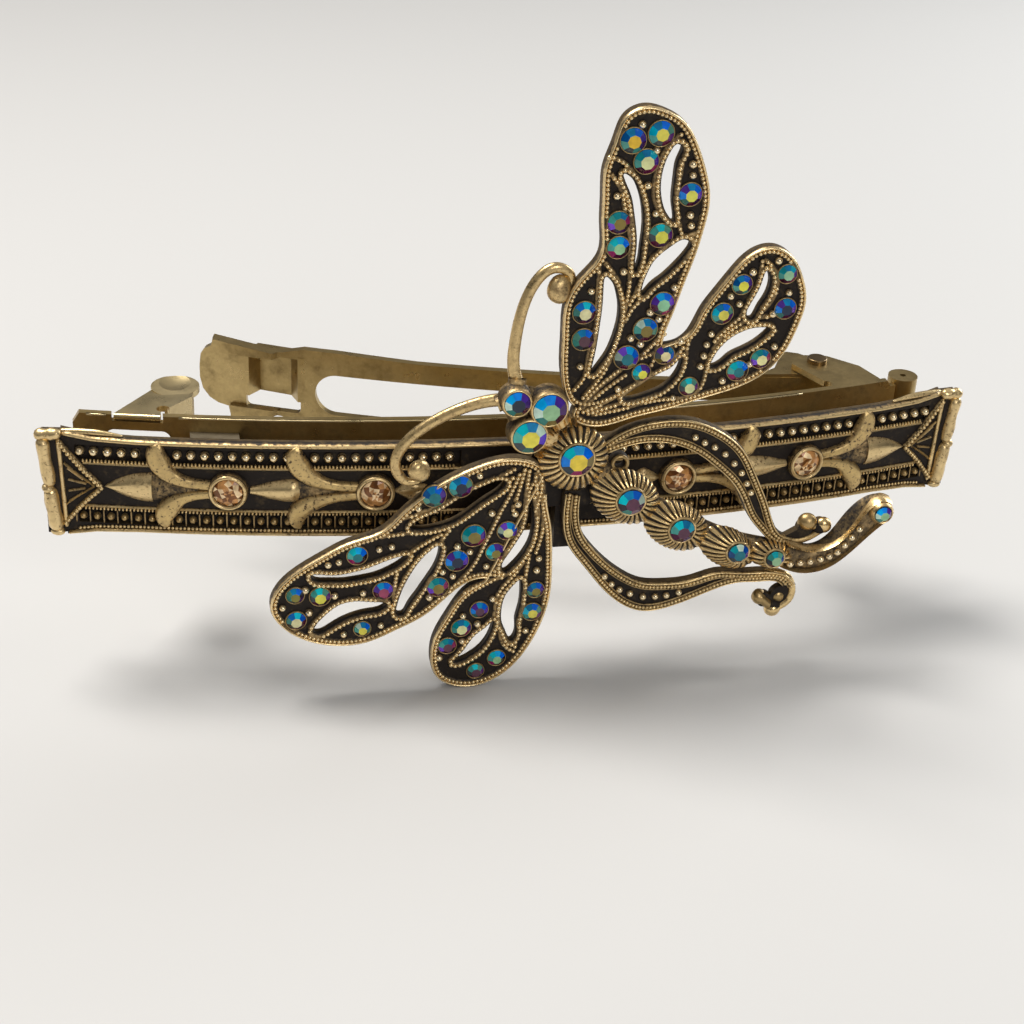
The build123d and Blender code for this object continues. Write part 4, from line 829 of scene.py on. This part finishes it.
# ----------------------------------------------------------------------------
# Cut stones
# ----------------------------------------------------------------------------
TABLE_TONE = {
    "Y": (0.80, 0.73, 0.16), "A": (0.86, 0.56, 0.14), "P": (0.78, 0.78, 0.42), "O": (0.24, 0.19, 0.06), "L": (0.34, 0.56, 0.36),
    "M": (0.11, 0.045, 0.07), "D": (0.02, 0.03, 0.055), "T": (0.03, 0.17, 0.22), "R": (0.36, 0.08, 0.14),
}
# crown facet colours by direction round the stone: the coating's aurora hues, with upward facets painted lit and
# downward facets painted in shade
AB_HUES_LIT_FROM_ABOVE = [
    (0, (0.16, 0.09, 0.50)), (45, (0.03, 0.16, 0.74)), (90, (0.02, 0.36, 0.78)), (135, (0.04, 0.55, 0.64)),
    (180, (0.10, 0.38, 0.34)), (225, (0.045, 0.06, 0.07)), (270, (0.075, 0.012, 0.04)), (315, (0.06, 0.018, 0.11)),
]
ODD_TOP_PAINTED_LIT = [(0.05, 0.62, 0.88), (0.03, 0.24, 0.78), (0.20, 0.50, 0.40), (0.22, 0.12, 0.62), (0.02, 0.10, 0.30), (0.55, 0.72, 0.62)]
ODD_LOW_PAINTED_SHADE = [(0.42, 0.07, 0.20), (0.07, 0.012, 0.04), (0.30, 0.24, 0.09), (0.20, 0.07, 0.34), (0.03, 0.02, 0.03), (0.10, 0.30, 0.26)]


def table_cut(m, surf, x, z, r, h0, hg, ht, tone, seed):
    """Flat-topped stone: octagonal table, eight crown facets, girdle and closed foot."""
    rng = random.Random(seed)
    ex, ez, en = surf.axes(x)
    c = surf.at(x, z, 0)
    rot = rng.uniform(0, math.pi / 4)
    tr = r * rng.uniform(0.52, 0.58)
    sub = 3
    pts, faces, cols = [], [], []

    def put(rad, ang, h):
        pts.append(c + ex * rad * math.cos(ang) + ez * rad * math.sin(ang) + en * h)
        return len(pts) - 1

    tb = [put(tr, rot + i * math.pi / 4, ht) for i in range(8)]
    gd, foot = [], []
    for i in range(8 * sub):
        a = rot + i * math.pi / 4 / sub
        mid = rot + (i // sub + 0.5) * math.pi / 4
        d = r * math.cos(a - mid)
        d0 = tr * math.cos(math.pi / 8)
        k = (d - d0) / (r - d0)
        gd.append(put(r, a, ht + (hg - ht) * k))
    low = [put(r, rot + i * math.pi / 4 / sub, h0) for i in range(8 * sub)]
    base = TABLE_TONE[tone]
    faces.append(tuple(tb))
    cols.append(tuple(min(1, b * rng.uniform(0.9, 1.1)) for b in base))
    odd = rng.sample(range(8), 3)
    turn = rng.uniform(-38, 38)
    for i in range(8):
        ang = math.degrees(rot + (i + 0.5) * math.pi / 4) % 360
        j = int(((ang + turn + 22.5) % 360) // 45)
        col = AB_HUES_LIT_FROM_ABOVE[j][1]
        # some facets take odd colours, lit ones above and shaded ones below: painted light and shade
        if i in odd:
            pick = ODD_TOP_PAINTED_LIT if 20 < ang < 200 else ODD_LOW_PAINTED_SHADE
            col = pick[rng.randrange(len(pick))]
        g = rng.uniform(0.5, 1.4)
        cols.append(tuple(min(1.0, k * g) for k in col))
        n2 = (i + 1) % 8
        faces.append((tb[i],) + tuple(gd[i * sub + s] for s in range(sub)) + (gd[(n2 * sub) % (8 * sub)], tb[n2]))
    for i in range(8 * sub):
        j = (i + 1) % (8 * sub)
        faces.append((gd[i], low[i], low[j], gd[j]))
        cols.append((0.012, 0.012, 0.02))
    faces.append(tuple(reversed(low)))
    cols.append((0.012, 0.012, 0.02))
    m.add(pts, faces, 0.0, cols)


def brilliant(m, surf, x, z, r, h0, hg, ht, seed):
    """Round many-facet stone in warm glass."""
    rng = random.Random(seed)
    ex, ez, en = surf.axes(x)
    c = surf.at(x, z, 0)
    pts, faces, cols = [], [], []

    def put(rad, ang, h):
        pts.append(c + ex * rad * math.cos(ang) + ez * rad * math.sin(ang) + en * h)
        return len(pts) - 1

    # random facet tones: the pale ones are painted glints, the dark ones painted dark reflections, the mid ones the
    # warm glass
    def tone():
        k = rng.random()
        if k < 0.26:
            return (1.0, 0.76, 0.48)
        if k < 0.62:
            return (0.62, 0.33, 0.15)
        return (0.20, 0.085, 0.035)

    q = math.pi / 4
    rot = rng.uniform(0, q)
    mid = put(0, 0, ht - 0.05)
    inn = [put(r * 0.26, rot + (i + 0.5) * q, ht - 0.02) for i in range(8)]
    tb = [put(r * 0.52, rot + i * q, ht) for i in range(8)]
    md = [put(r * 0.76, rot + (i + 0.5) * q, ht * 0.6 + hg * 0.4) for i in range(8)]
    gd = [put(r, rot + i * q / 2, hg) for i in range(16)]
    low = [put(r, rot + i * q / 2, h0) for i in range(16)]
    for i in range(8):
        j = (i + 1) % 8
        faces += [(mid, inn[i - 1], inn[i]), (inn[i - 1], tb[i], inn[i]), (inn[i], tb[i], tb[j]), (tb[i], md[i], tb[j]), (tb[i], md[i - 1], gd[2 * i], md[i]), (md[i], gd[2 * i], gd[2 * i + 1]), (md[i], gd[2 * i + 1], gd[(2 * i + 2) % 16])]
        cols += [tone() for _ in range(7)]
    for i in range(16):
        j = (i + 1) % 16
        faces.append((gd[i], low[i], low[j], gd[j]))
        cols.append((0.14, 0.07, 0.04))
    faces.append(tuple(reversed(low)))
    cols.append((0.14, 0.07, 0.04))
    m.add(pts, faces, 0.0, cols)


for node, stones, surf, h in (("upper_forewing_stones", uf_stones, WING, (-0.44, 0.16, 0.62)), ("upper_hindwing_stones", uh_stones, WING, (-0.44, 0.16, 0.58)), ("lower_forewing_stones", lf_stones, WING, (-0.44, 0.16, 0.60)), ("lower_hindwing_stones", lh_stones, WING, (-0.44, 0.16, 0.56)), ("eye_stones", eyes, BODY, (-0.49, 0.06, 0.58)), ("head_stone", head_stone, BODY, (-0.49, 0.06, 0.52)), ("body_stones", body_stones, BODY, (-0.49, 0.06, 0.56)), ("tail_stone", tail_stone, BODY, (-0.49, 0.02, 0.42))):
    m = Mesh()
    for i, (x, z, r, tone) in enumerate(stones):
        table_cut(m, surf, x, z, r, *h, tone, 900 + 31 * i + len(node))
    m.make(node + "_cut", M_AB, "aurora_glass", smooth=False, replaces=(node,))

m = Mesh()
for i, x in enumerate(plate_stones):
    brilliant(m, PLATE, x, 0.0, 1.33, 0.12, 0.66, 0.95, 70 + i)
m.make("champagne_stones_cut", M_CH, "champagne_glass", smooth=False, replaces=("champagne_stones",))

# ----------------------------------------------------------------------------
# Dragonfly body: ribbed domes, head cups, neck, tail
# ----------------------------------------------------------------------------
FLOOR_B = Face(WING_Y)
m = Mesh()
dome(m, FLOOR_B, (3.08, 5.0), 1.5, (3.08, 4.5), 3.2, 3.2, 0, 0.45, 1.6, 26, 0.28, scallop=0.015, rings=12, per=10, curve=2.0)
for i, (x, z, a, b) in enumerate(segments):
    sx, sz, sr, _ = body_stones[i + 1]
    dome(m, FLOOR_B, (sx, sz), sr, (x, z), a, b, -33 if x < 20 else -12, 0.3, 1.58, (28, 26, 22, 18)[i], 0.26, scallop=0.015, rings=11, per=10, phase=0.4 * i, curve=1.9, base=0.04 * (i + 1))
# ribbed neck between the eyes and the thorax
neck = Mesh()
for i in range(11):
    a = math.radians(92 + i * 8.6)
    cx, cz = 3.08, 5.0
    p0 = (cx + 2.9 * math.cos(a), cz + 2.9 * math.sin(a))
    p1 = (cx + (4.9 - 0.25 * abs(i - 5)) * math.cos(a), cz + (4.9 - 0.25 * abs(i - 5)) * math.sin(a))
    strap(neck, FLOOR_B, resample(np.array([p0, p1]), 0.25), 0.12 + 0.05 * ((i * 7) % 3) / 2, [0.75 + 0.5 * math.sin(math.pi * t) for t in np.linspace(0.1, 0.95, max(2, int(round(np.hypot(p1[0] - p0[0], p1[1] - p0[1]) / 0.25)) + 1))], base=0.08 + 0.02 * (i % 2), foot=0.55, cols=6)
body_ob = m.make("ribbed_body", M_CAST, "antique_cast_brass", replaces=("dragonfly_body",), angle=60)
neck.make("neck_ribs", M_CAST, "antique_cast_brass", angle=60)

cups = Mesh()
for k, (x, z, r, _) in enumerate(eyes + head_stone):
    b0 = 0.05 * k
    # cups: darker on the outer wall's foot and inside, light on the rim: patina plus painted shade
    prof = [(r + 0.36, b0), (r + 0.35, 0.7), (r + 0.3, 1.2), (r + 0.22, 1.58), (r + 0.13, 1.74), (r + 0.05, 1.76), (r + 0.0, 1.7), (r - 0.02, 1.2), (0.02, 1.15), (0.02, b0)]
    lathe(cups, FLOOR_B, x, z, prof, 40, np.array([0.65, 0.9, 0.8, 0.5, 0.1, 0.0, 0.6, 1, 1, 0.6]))
# webs between the cups
for k, ((x0, z0), (x1, z1), w) in enumerate((((-2.68, 10.85), (0.27, 10.11), 1.2), ((0.27, 10.11), (-1.42, 7.54), 1.4), ((-1.42, 7.54), (-2.68, 10.85), 1.25), ((-3.2, 10.6), (-4.2, 10.2), 0.8), ((-2.6, 11.2), (-2.45, 12.6), 0.8), ((-1.42, 7.54), (1.2, 6.4), 1.2), ((0.27, 10.11), (1.9, 8.0), 1.1))):
    strap(cups, FLOOR_B, resample(np.array([(x0, z0), (x1, z1)]), 0.3), w, 1.05 - 0.02 * k, base=0.16 + 0.04 * k, cols=8, power=3, edge=0.9, top=0.25, foot=0.55)
cups.make("head_cups", M_CAST, "antique_cast_brass", angle=70)

# casting underneath: the spine that carries the domes
spine = Mesh()
strap(spine, FLOOR_B, resample(cubic([(0.4, 7.2), (3.2, 4.8), (8.4, 0.4), (13.6, -2.9), (19.0, -5.6), (23.6, -6.9), (26.0, -7.6)]), 0.4), [1.3] * 1, 0.5, base=-0.3, cols=6, power=3, top=0.6, foot=0.55)
spine.make("body_spine", M_CAST, "antique_cast_brass")

# tail: domed band, smooth upper rail, beads on the lower edge
lo, up = resample(cubic(tail_lo), 0.3)[:46], resample(cubic(tail_up), 0.3)
n = 40
lo = resample(cubic(tail_lo), 0.1)
up = resample(cubic(tail_up), 0.1)
lo = np.stack([np.interp(np.linspace(0, 1, n), np.linspace(0, 1, len(lo)), lo[:, k]) for k in range(2)], 1)
up = np.stack([np.interp(np.linspace(0, 1, n), np.linspace(0, 1, len(up)), up[:, k]) for k in range(2)], 1)
midl = (lo + up) / 2
half = np.linalg.norm(up - lo, axis=1) / 2
tail = Mesh()
strap(tail, FLOOR_B, midl, np.maximum(half, 0.5), 0.95, base=-0.08, foot=0.6, cols=8, power=4, top=0.75, edge=0.9)
strap(tail, FLOOR_B, up + (midl - up) * 0.12, 0.22, 1.35, base=0.05, cols=6, power=2.2)
strap(tail, FLOOR_B, lo + (midl - lo) * 0.08, 0.16, 1.2, base=0.05, cols=6, power=2.2, top=0.1)
x, z, r, _ = tail_stone[0]
# stone cup on the tail: dark inside and at the foot, light on the rim: patina plus painted shade
prof = [(r + 0.42, -0.04), (r + 0.40, 0.9), (r + 0.30, 1.5), (r + 0.14, 1.72), (r + 0.03, 1.68), (r, 1.2), (0.02, 1.1), (0.02, -0.04)]
lathe(tail, FLOOR_B, x, z, prof, 32, np.array([0.6, 0.7, 0.2, 0, 0.3, 1, 1, 0.6]))
tail.make("tail_band", M_CAST, "antique_cast_brass", angle=70)
tb = Mesh()
for x, z in ((24.9, -7.68), (25.9, -7.6), (26.9, -7.53), (27.9, -7.32), (28.75, -7.08), (29.5, -6.66), (30.15, -5.95), (30.75, -5.11), (31.4, -4.25)):
    bead(tb, Face(WING_Y - 0.95), x, z, 0.36, 0.06, 1.05, fine=True)
tb.make("tail_beads", M_BALL, "antique_cast_brass")

# dark eyelet ring beside the thorax
ey = Mesh()
ring(ey, Face(WING_Y + 0.4), 7.6, 3.5, 0.7, 0.2, 0.5, seg=30, base=-0.6, dark=0.9)
ey.make("eyelet_ring", M_DIM, "antique_cast_brass")

# ----------------------------------------------------------------------------
# Ribbons: edge milgrain, smooth rails, balls down the middle
# ----------------------------------------------------------------------------


def trim(line, a, b):
    d = np.concatenate([[0], np.cumsum(np.linalg.norm(np.diff(line, axis=0), axis=1))])
    k = (d >= a) & (d <= d[-1] - b)
    return line[k]


def shift(line, d):
    return line + normals_of(line, False) * d


rb, rr_, rball, rband = Mesh(), Mesh(), Mesh(), Mesh()
for line, side in ((right_out, -1), (right_in, -1), (left_out, 1), (left_in, 1)):
    line = resample(cubic(line), 0.15)
    ln = trim(line, 0.2, 0.3)
    strap(rr_, WING, resample(shift(ln, side * 0.13), 0.3), 0.11, 0.32, cols=6)
    strap(rband, WING, resample(shift(ln, side * 0.42), 0.3), 0.26, 0.2, cols=6, power=3, top=0.3, edge=0.9)
    strap(rband, WING, resample(shift(ln, side * 0.72), 0.3), 0.08, 0.24, cols=4)
    chain(rb, WING, shift(ln, side * 0.43), 0.185, 0.36, False, 0.2, None, 1.05)
for x, z in ((14.42, 5.94), (15.38, 5.33), (16.39, 4.82), (17.47, 4.04), (18.45, 3.02), (19.27, 1.99), (19.9, 0.85), (20.4, -0.15)):
    bead(rball, WING, x, z, 0.34, 0.12, 1.1, fine=True)
for x, z in ((6.95, -8.32), (7.69, -9.2), (8.53, -9.89), (9.59, -10.39), (10.9, -10.85), (12.1, -10.9), (13.2, -10.85), (14.4, -10.6)):
    bead(rball, WING, x, z, 0.34, 0.12, 1.1, fine=True)
rb.make("ribbon_milgrain", M_PLATE, "antique_cast_brass")
rr_.make("ribbon_rails", M_PLATE, "antique_cast_brass")
rball.make("ribbon_balls", M_BALL, "antique_cast_brass")
rband.make("ribbon_bands", M_BAND, "antique_cast_brass")
ends, dark_ends = Mesh(), Mesh()
nugget(ends, (28.2, -9.6, -4.3), 0.8, 5, (1, 0.9, 1), 0.04)
nugget(dark_ends, (26.55, -9.5, -3.9), 0.95, 6, (1, 0.85, 0.95), 0.05)
nugget(ends, (24.18, -9.6, -13.28), 0.82, 7, (1, 0.95, 0.95), 0.05)
nugget(dark_ends, (22.76, -9.4, -12.04), 0.78, 8, (1, 0.9, 1), 0.05)
nugget(dark_ends, (24.65, -9.35, -11.95), 0.72, 9, (1, 0.85, 1), 0.05)
for mm, pts, rad in (
    (dark_ends, [(24.2, -5.4), (25.6, -5.8), (26.9, -5.5), (28.0, -4.8)], 0.36),
    (dark_ends, [(26.4, -4.1), (27.4, -4.3), (28.3, -4.5)], 0.42),
    (ends, [(22.0, -9.3), (23.6, -9.2), (25.0, -9.6), (25.85, -10.9), (25.7, -12.4), (24.7, -13.2)], 0.4),
    (dark_ends, [(22.8, -12.0), (23.5, -12.6), (24.1, -13.1)], 0.5),
):
    ln = cubic(pts, False, 0.2)
    tube(mm, np.stack([ln[:, 0], np.full(len(ln), -9.6), ln[:, 1]], 1), rad, 12)
ends.make("ribbon_end_balls", M_CAST, "antique_cast_brass")
dark_ends.make("ribbon_end_scrolls", M_DIM, "antique_cast_brass")

# ----------------------------------------------------------------------------
# Antennae: tapered bars ending in scrolls with cast nuggets
# ----------------------------------------------------------------------------
up_ant = Mesh()
ln = cubic([(-2.35, 11.7), (-2.8, 13.6), (-2.78, 15.6), (-2.45, 18.0), (-1.85, 20.1), (-0.9, 21.75), (0.2, 22.55), (1.2, 22.45), (1.9, 21.8), (2.0, 21.0)], False, 0.2)
r = np.interp(np.linspace(0, 1, len(ln)), [0, 0.15, 0.6, 0.85, 1], [0.62, 0.56, 0.5, 0.5, 0.36])
tube(up_ant, np.stack([ln[:, 0], np.linspace(-9.7, -9.2, len(ln)), ln[:, 1]], 1), r, 14, 0.85)
nugget(up_ant, (0.9, -9.45, 20.7), 1.18, 21, (0.95, 0.8, 1.1), 0.07, 0.1)
up_ant.make("upper_antenna_scroll", M_ANT, "antique_cast_brass", replaces=("upper_antenna",))
lo_ant = Mesh()
ln = cubic([(-3.5, 10.5), (-5.0, 10.35), (-6.9, 9.85), (-9.03, 8.9), (-10.95, 7.65), (-12.4, 6.1), (-13.0, 4.6), (-12.7, 3.3), (-11.9, 2.5), (-10.9, 2.5)], False, 0.2)
r = np.interp(np.linspace(0, 1, len(ln)), [0, 0.15, 0.6, 0.85, 1], [0.62, 0.56, 0.5, 0.5, 0.36])
tube(lo_ant, np.stack([ln[:, 0], np.linspace(-9.7, -9.2, len(ln)), ln[:, 1]], 1), r, 14, 0.85)
nugget(lo_ant, (-10.95, -9.5, 3.75), 1.02, 22, (1, 0.8, 1), 0.1, 0.12)
lo_ant.make("lower_antenna_scroll", M_ANT, "antique_cast_brass", replaces=("lower_antenna",))

# ----------------------------------------------------------------------------
# Plate relief on the bow
# ----------------------------------------------------------------------------


def xline(x0, x1, z, step=0.5):
    n = max(2, int(abs(x1 - x0) / step))
    x = np.linspace(x0, x1, n + 1)
    return np.stack([x, np.full(n + 1, z)], 1)


rail, gr, bd, relief, tulip, low_bd = Mesh(), Mesh(), Mesh(), Mesh(), Mesh(), Mesh()
rng = random.Random(5)
for s in (1, -1):
    edge = xline(-41.8, 41.8, 0.0)
    edge[:, 1] = s * np.interp(np.abs(edge[:, 0]), [35.5, 39.3, 42.0], [4.5, 4.65, 5.12])
    strap(rail, PLATE, edge, 0.26 if s > 0 else 0.2, 0.36, cols=6, power=2.2, base=-0.4)
    if s < 0:
        chain(gr, PLATE, edge[2:-2] - np.array([0, s * 0.36]), 0.17, 0.36, False, 0.06, None, 1.0, 1.0, rng)
    strap(relief, PLATE, xline(-40.2, 40.2, s * 2.18), 0.16, 0.22, cols=4)
    for x in np.arange(-40.2, 40.3, 0.33):
        if -7.0 < x < 7.8:
            continue
        bead(gr, PLATE, x, s * 2.42, 0.19, 0.02, 1.1, 0.62)
    for x in np.arange(6.95 + 0.6, 41.3, 1.22):
        for sx in (1, -1):
            if (s < 0) or abs(abs(x) - 33.6) > 0.9:
                if s > 0:
                    bead(bd, PLATE, sx * x, s * 3.3, 0.45, -0.2, 1.25, 0.95, fine=True)
                else:
                    bead(low_bd, PLATE, sx * x, s * 3.3, 0.37, -0.2, 1.3, 0.95, fine=True)
                    strap(low_bd, PLATE, resample(np.array([(sx * (x + 0.61), s * 2.65), (sx * (x + 0.61), s * 3.95)]), 0.25), 0.07, 0.02, base=-0.42, cols=4, top=0.3)
for sx in (1, -1):
    # end triangle: two milgrain sides with ribs inside
    for line in ([(42.2, 4.2), (40.5, 1.9), (38.65, -0.2)], [(42.0, -4.0), (40.5, -2.1), (38.65, -0.2)]):
        ln = cubic([(sx * a, b) for a, b in line], False, 0.2)
        strap(relief, PLATE, ln, 0.26, 0.35, cols=6)
        chain(gr, PLATE, ln, 0.22, 0.42, False, 0.3, None, 1.0, 1.0, rng)
        inner = [(sx * (abs(a) + 0.65), b * 0.72) for a, b in ln if abs(a) < 41.3]
        strap(relief, PLATE, resample(np.array(inner), 0.3), 0.12, 0.28, cols=4)
    for dz in (1.35, 0.35, -0.65, -1.6):
        strap(relief, PLATE, resample(np.array([(sx * 41.6, dz * 1.15), (sx * (39.95 + 0.25 * abs(dz)), dz * 0.45 - 0.1)]), 0.2), 0.14, 0.25, cols=4, top=0.2)
    # pointed leaf at the end, darkening inwards, and its stem
    ln = xline(38.35, 34.2, 0.0, 0.15) * np.array([sx, 1])
    t = np.linspace(0, 1, len(ln))
    strap(relief, PLATE, ln, np.maximum(1.5 * np.sin(t * math.pi * 0.52) ** 0.85, 0.02), 0.28 + 0.35 * np.sin(t * math.pi * 0.55), cols=10, power=2.2, edge=0.5)
    ln = xline(34.3, 30.2, 0.0, 0.2) * np.array([sx, 1])
    t = np.linspace(0, 1, len(ln))
    strap(relief, PLATE, ln, 1.45 - 1.0 * t, 0.45 - 0.15 * t, cols=8, power=2.5, edge=0.9, top=0.72)
    # tulips: two curved petals whose stems meet at a stone cup
    for x0, up_pts, lo_pts in (
        (29.0, [(33.35, 4.55), (33.75, 3.6), (33.3, 2.2), (32.2, 1.15), (30.9, 0.68), (29.0, 0.45)], [(32.9, -3.9), (33.2, -3.0), (32.7, -1.9), (31.8, -1.05), (30.7, -0.62), (29.0, -0.4)]),
        (15.9, [(21.2, 4.6), (21.5, 3.6), (20.9, 2.2), (19.5, 1.1), (18.0, 0.62), (15.9, 0.45)], [(21.1, -3.8), (21.4, -2.9), (20.8, -1.7), (19.4, -0.95), (17.9, -0.58), (15.9, -0.4)]),
    ):
        for pts in (up_pts, lo_pts):
            ln = resample(cubic([(sx * a, b) for a, b in pts], False, 0.1), 0.12)
            t = np.linspace(0, 1, len(ln))
            w = np.interp(t, [0, 0.04, 0.12, 0.28, 0.45, 0.62, 0.8, 1], [0.15, 0.5, 0.85, 1.02, 0.85, 0.58, 0.48, 0.46])
            hgt = np.interp(t, [0, 0.05, 0.3, 0.6, 1], [0.35, 0.55, 0.7, 0.6, 0.5])
            strap(tulip, PLATE, ln, w, hgt, cols=10, power=7, edge=0.5, top=0.1)
    # leaf between the stones
    ln = xline(25.5, 21.0, 0.0, 0.15) * np.array([sx, 1])
    t = np.linspace(0, 1, len(ln))
    w = np.interp(t, [0, 0.12, 0.35, 0.62, 0.85, 0.95, 1], [0.38, 0.5, 0.85, 1.12, 1.2, 1.05, 0.7])
    strap(relief, PLATE, ln, w, np.interp(t, [0, 0.5, 0.85, 1], [0.4, 0.62, 0.7, 0.35]), cols=10, power=2.4, edge=0.6)
    ln = xline(21.2, 18.0, 0.0, 0.2) * np.array([sx, 1])
    t = np.linspace(0, 1, len(ln))
    strap(relief, PLATE, ln, 1.15 - 0.8 * t, 0.4 - 0.15 * t, cols=8, power=2.5, edge=0.9, top=0.72)
    ln = xline(12.6, 8.6, 0.0, 0.15) * np.array([sx, 1])
    t = np.linspace(0, 1, len(ln))
    strap(relief, PLATE, ln, np.interp(t, [0, 0.4, 1], [0.1, 1.15, 0.1]), np.interp(t, [0, 0.5, 1], [0.25, 0.6, 0.2]), cols=10, power=2.2, edge=0.5, top=0.15)
    ln = np.stack([np.linspace(36.8, 41.9, 16), 4.9 + 0.25 * np.sin(np.linspace(0, 2.6, 16))], 1)
    tube(rail, PLATE.at(sx * ln[:, 0], ln[:, 1], -0.28), np.interp(np.linspace(0, 1, 16), [0, 0.4, 1], [0.14, 0.3, 0.34]), 10, 1.0, 0.1)
rail.make("plate_rails", M_PLATE, "antique_cast_brass")
gr.make("plate_milgrain", M_PLATE, "antique_cast_brass")
bd.make("plate_beads", M_BALL, "antique_cast_brass")
low_bd.make("plate_lower_beads", M_DIM, "antique_cast_brass")
relief.make("plate_leaves", M_PLATE, "antique_cast_brass", angle=60)
tulip.make("plate_petals", M_PETAL, "antique_cast_brass", angle=60)

cup = Mesh()
for x in plate_stones:
    # stone cups: dark at the foot and inside, light on the rim: patina plus painted shade
    prof = [(1.84, -0.1), (1.83, 0.3), (1.77, 0.66), (1.68, 0.84), (1.56, 0.9), (1.44, 0.84), (1.35, 0.6), (1.34, 0.05), (0.7, 0.02), (0.7, -0.1)]
    lathe(cup, PLATE, x, 0, prof, 36, np.array([1, 0.8, 0.35, 0.05, 0, 0.15, 0.8, 1, 1, 1]))
cup.make("plate_stone_cups", M_PLATE, "antique_cast_brass", angle=70)

blk = Mesh()
for sx in (1, -1):
    def bar(x0, z0, x1, z1, r, h, seed):
        n = 12
        xs, zs = np.linspace(x0, x1, n), np.linspace(z0, z1, n)
        p = PLATE.at(sx * xs, zs, h)
        rng2 = random.Random(seed)
        ph = [rng2.uniform(0, 6) for _ in range(3)]
        rad = r * (1 + 0.06 * np.sin(np.linspace(0, 9, n) + ph[0]))
        tube(blk, p, rad, 12, 1.0, 0.12, lambda i, a: 1 + 0.05 * math.sin(3 * a + ph[1] + i * 0.7))
    bar(43.55, 4.0, 43.2, 0.3, 0.62, 0.35, 1)
    bar(43.15, -0.9, 42.85, -4.1, 0.68, 0.35, 2)
    bar(42.25, 4.3, 42.0, -4.3, 0.22, 0.1, 3)
    bar(43.75, 4.85, 42.4, 5.0, 0.55, 0.2, 4)
    nugget(blk, tuple(PLATE.at(sx * 43.35, -0.35, 0.5)), 0.55, 31, (1, 1, 0.8), 0.05, 0.15)
    nugget(blk, tuple(PLATE.at(sx * 42.75, -4.85, 0.3)), 0.55, 32, (1.1, 1, 0.8), 0.05, 0.15)
blk.make("plate_end_bars", M_PLATE, "antique_cast_brass")

# rolled upper edge of the pressed strip, in pale brass as a painted highlight along the top edge
STRIP = Bow(171.9)
lip = Mesh()
for x0, x1 in ((-40.6, -38.8), (-32.2, 28.6)):
    strap(lip, STRIP, xline(x0, x1, 5.2, 0.6), 0.1, 0.08, cols=4, power=2.2, base=-0.12, top=0.0, edge=0.5)
lip.make("strip_rolled_edge", M_PALE_PAINTED_LIGHT, "stamped_brass")

# ----------------------------------------------------------------------------
# Floor, light, camera
# ----------------------------------------------------------------------------
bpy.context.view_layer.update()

fl = bpy.data.meshes.new("floor")
s, zf = 1.5, -0.0197
fl.from_pydata([(-s, -s, zf), (s, -s, zf), (s, s, zf), (-s, s, zf)], [], [(0, 1, 2, 3)])
floor = bpy.data.objects.new("floor", fl)
bpy.context.scene.collection.objects.link(floor)
fm, nt, bs = new_mat("pale_floor")
bs.inputs["Base Color"].default_value = (0.60, 0.595, 0.585, 1)
bs.inputs["Roughness"].default_value = 0.55
fl.materials.append(fm)

world = bpy.data.worlds.new("studio")
bpy.context.scene.world = world
world.use_nodes = True
wt = world.node_tree
wt.nodes.clear()
wo = wt.nodes.new("ShaderNodeOutputWorld")
bg = wt.nodes.new("ShaderNodeBackground")
tc = wt.nodes.new("ShaderNodeTexCoord")
sp = wt.nodes.new("ShaderNodeSeparateXYZ")
wt.links.new(tc.outputs["Generated"], sp.inputs[0])
rm = wt.nodes.new("ShaderNodeMapRange")
wt.links.new(sp.outputs[2], rm.inputs[0])
rm.inputs[1].default_value, rm.inputs[2].default_value = -1, 1
cr = wt.nodes.new("ShaderNodeValToRGB")
wt.links.new(rm.outputs[0], cr.inputs[0])
el = cr.color_ramp.elements
el[0].position, el[0].color = 0.45, (0.07, 0.07, 0.075, 1)
el[1].position, el[1].color = 1.0, (1.0, 0.98, 0.95, 1)
e = el.new(0.62)
e.color = (0.22, 0.22, 0.23, 1)
e = el.new(0.8)
e.color = (0.75, 0.74, 0.72, 1)
wt.links.new(cr.outputs[0], bg.inputs[0])
bg.inputs[1].default_value = 0.36
wt.links.new(bg.outputs[0], wo.inputs[0])


def area_light(name, loc, target, size, power, col=(1, 1, 1)):
    d = bpy.data.lights.new(name, "AREA")
    d.shape, d.size, d.energy, d.color = "SQUARE", size, power, col
    o = bpy.data.objects.new(name, d)
    o.location = loc
    o.rotation_mode = "QUATERNION"
    o.rotation_quaternion = (Vector(target) - Vector(loc)).to_track_quat("-Z", "Y")
    bpy.context.scene.collection.objects.link(o)


area_light("key", (-0.16, 0.10, 0.42), (0, 0, 0), 0.2, 2.35, (1, 0.97, 0.93))
area_light("front", (0.12, -0.42, 0.22), (0, 0, 0.005), 0.20, 0.62, (1, 0.98, 0.96))
area_light("rim", (0.35, 0.18, 0.14), (0, 0, 0), 0.2, 0.9, (0.95, 0.98, 1))

az, ele, roll = math.radians(-12.936), math.radians(29.036), math.radians(3.209)
back = Vector((math.sin(az) * math.cos(ele), -math.cos(az) * math.cos(ele), math.sin(ele)))
right0 = Vector((0, 0, 1)).cross(back).normalized()
up0 = back.cross(right0)
right = math.cos(roll) * right0 + math.sin(roll) * up0
upv = -math.sin(roll) * right0 + math.cos(roll) * up0
cam = bpy.data.cameras.new("camera")
cam.lens, cam.sensor_width = 66.51, 36.0
cam.clip_start, cam.clip_end = 0.005, 20
co = bpy.data.objects.new("camera", cam)
rot = Matrix((right, upv, back)).transposed()
co.matrix_world = Matrix.Translation(Vector((-0.001513, -0.0066, -0.002725)) + back * 0.176073) @ rot.to_4x4()
bpy.context.scene.collection.objects.link(co)
bpy.context.scene.camera = co

sc = bpy.context.scene
sc.view_settings.view_transform = "Standard"
sc.view_settings.look = "None"
sc.view_settings.exposure = 0.0
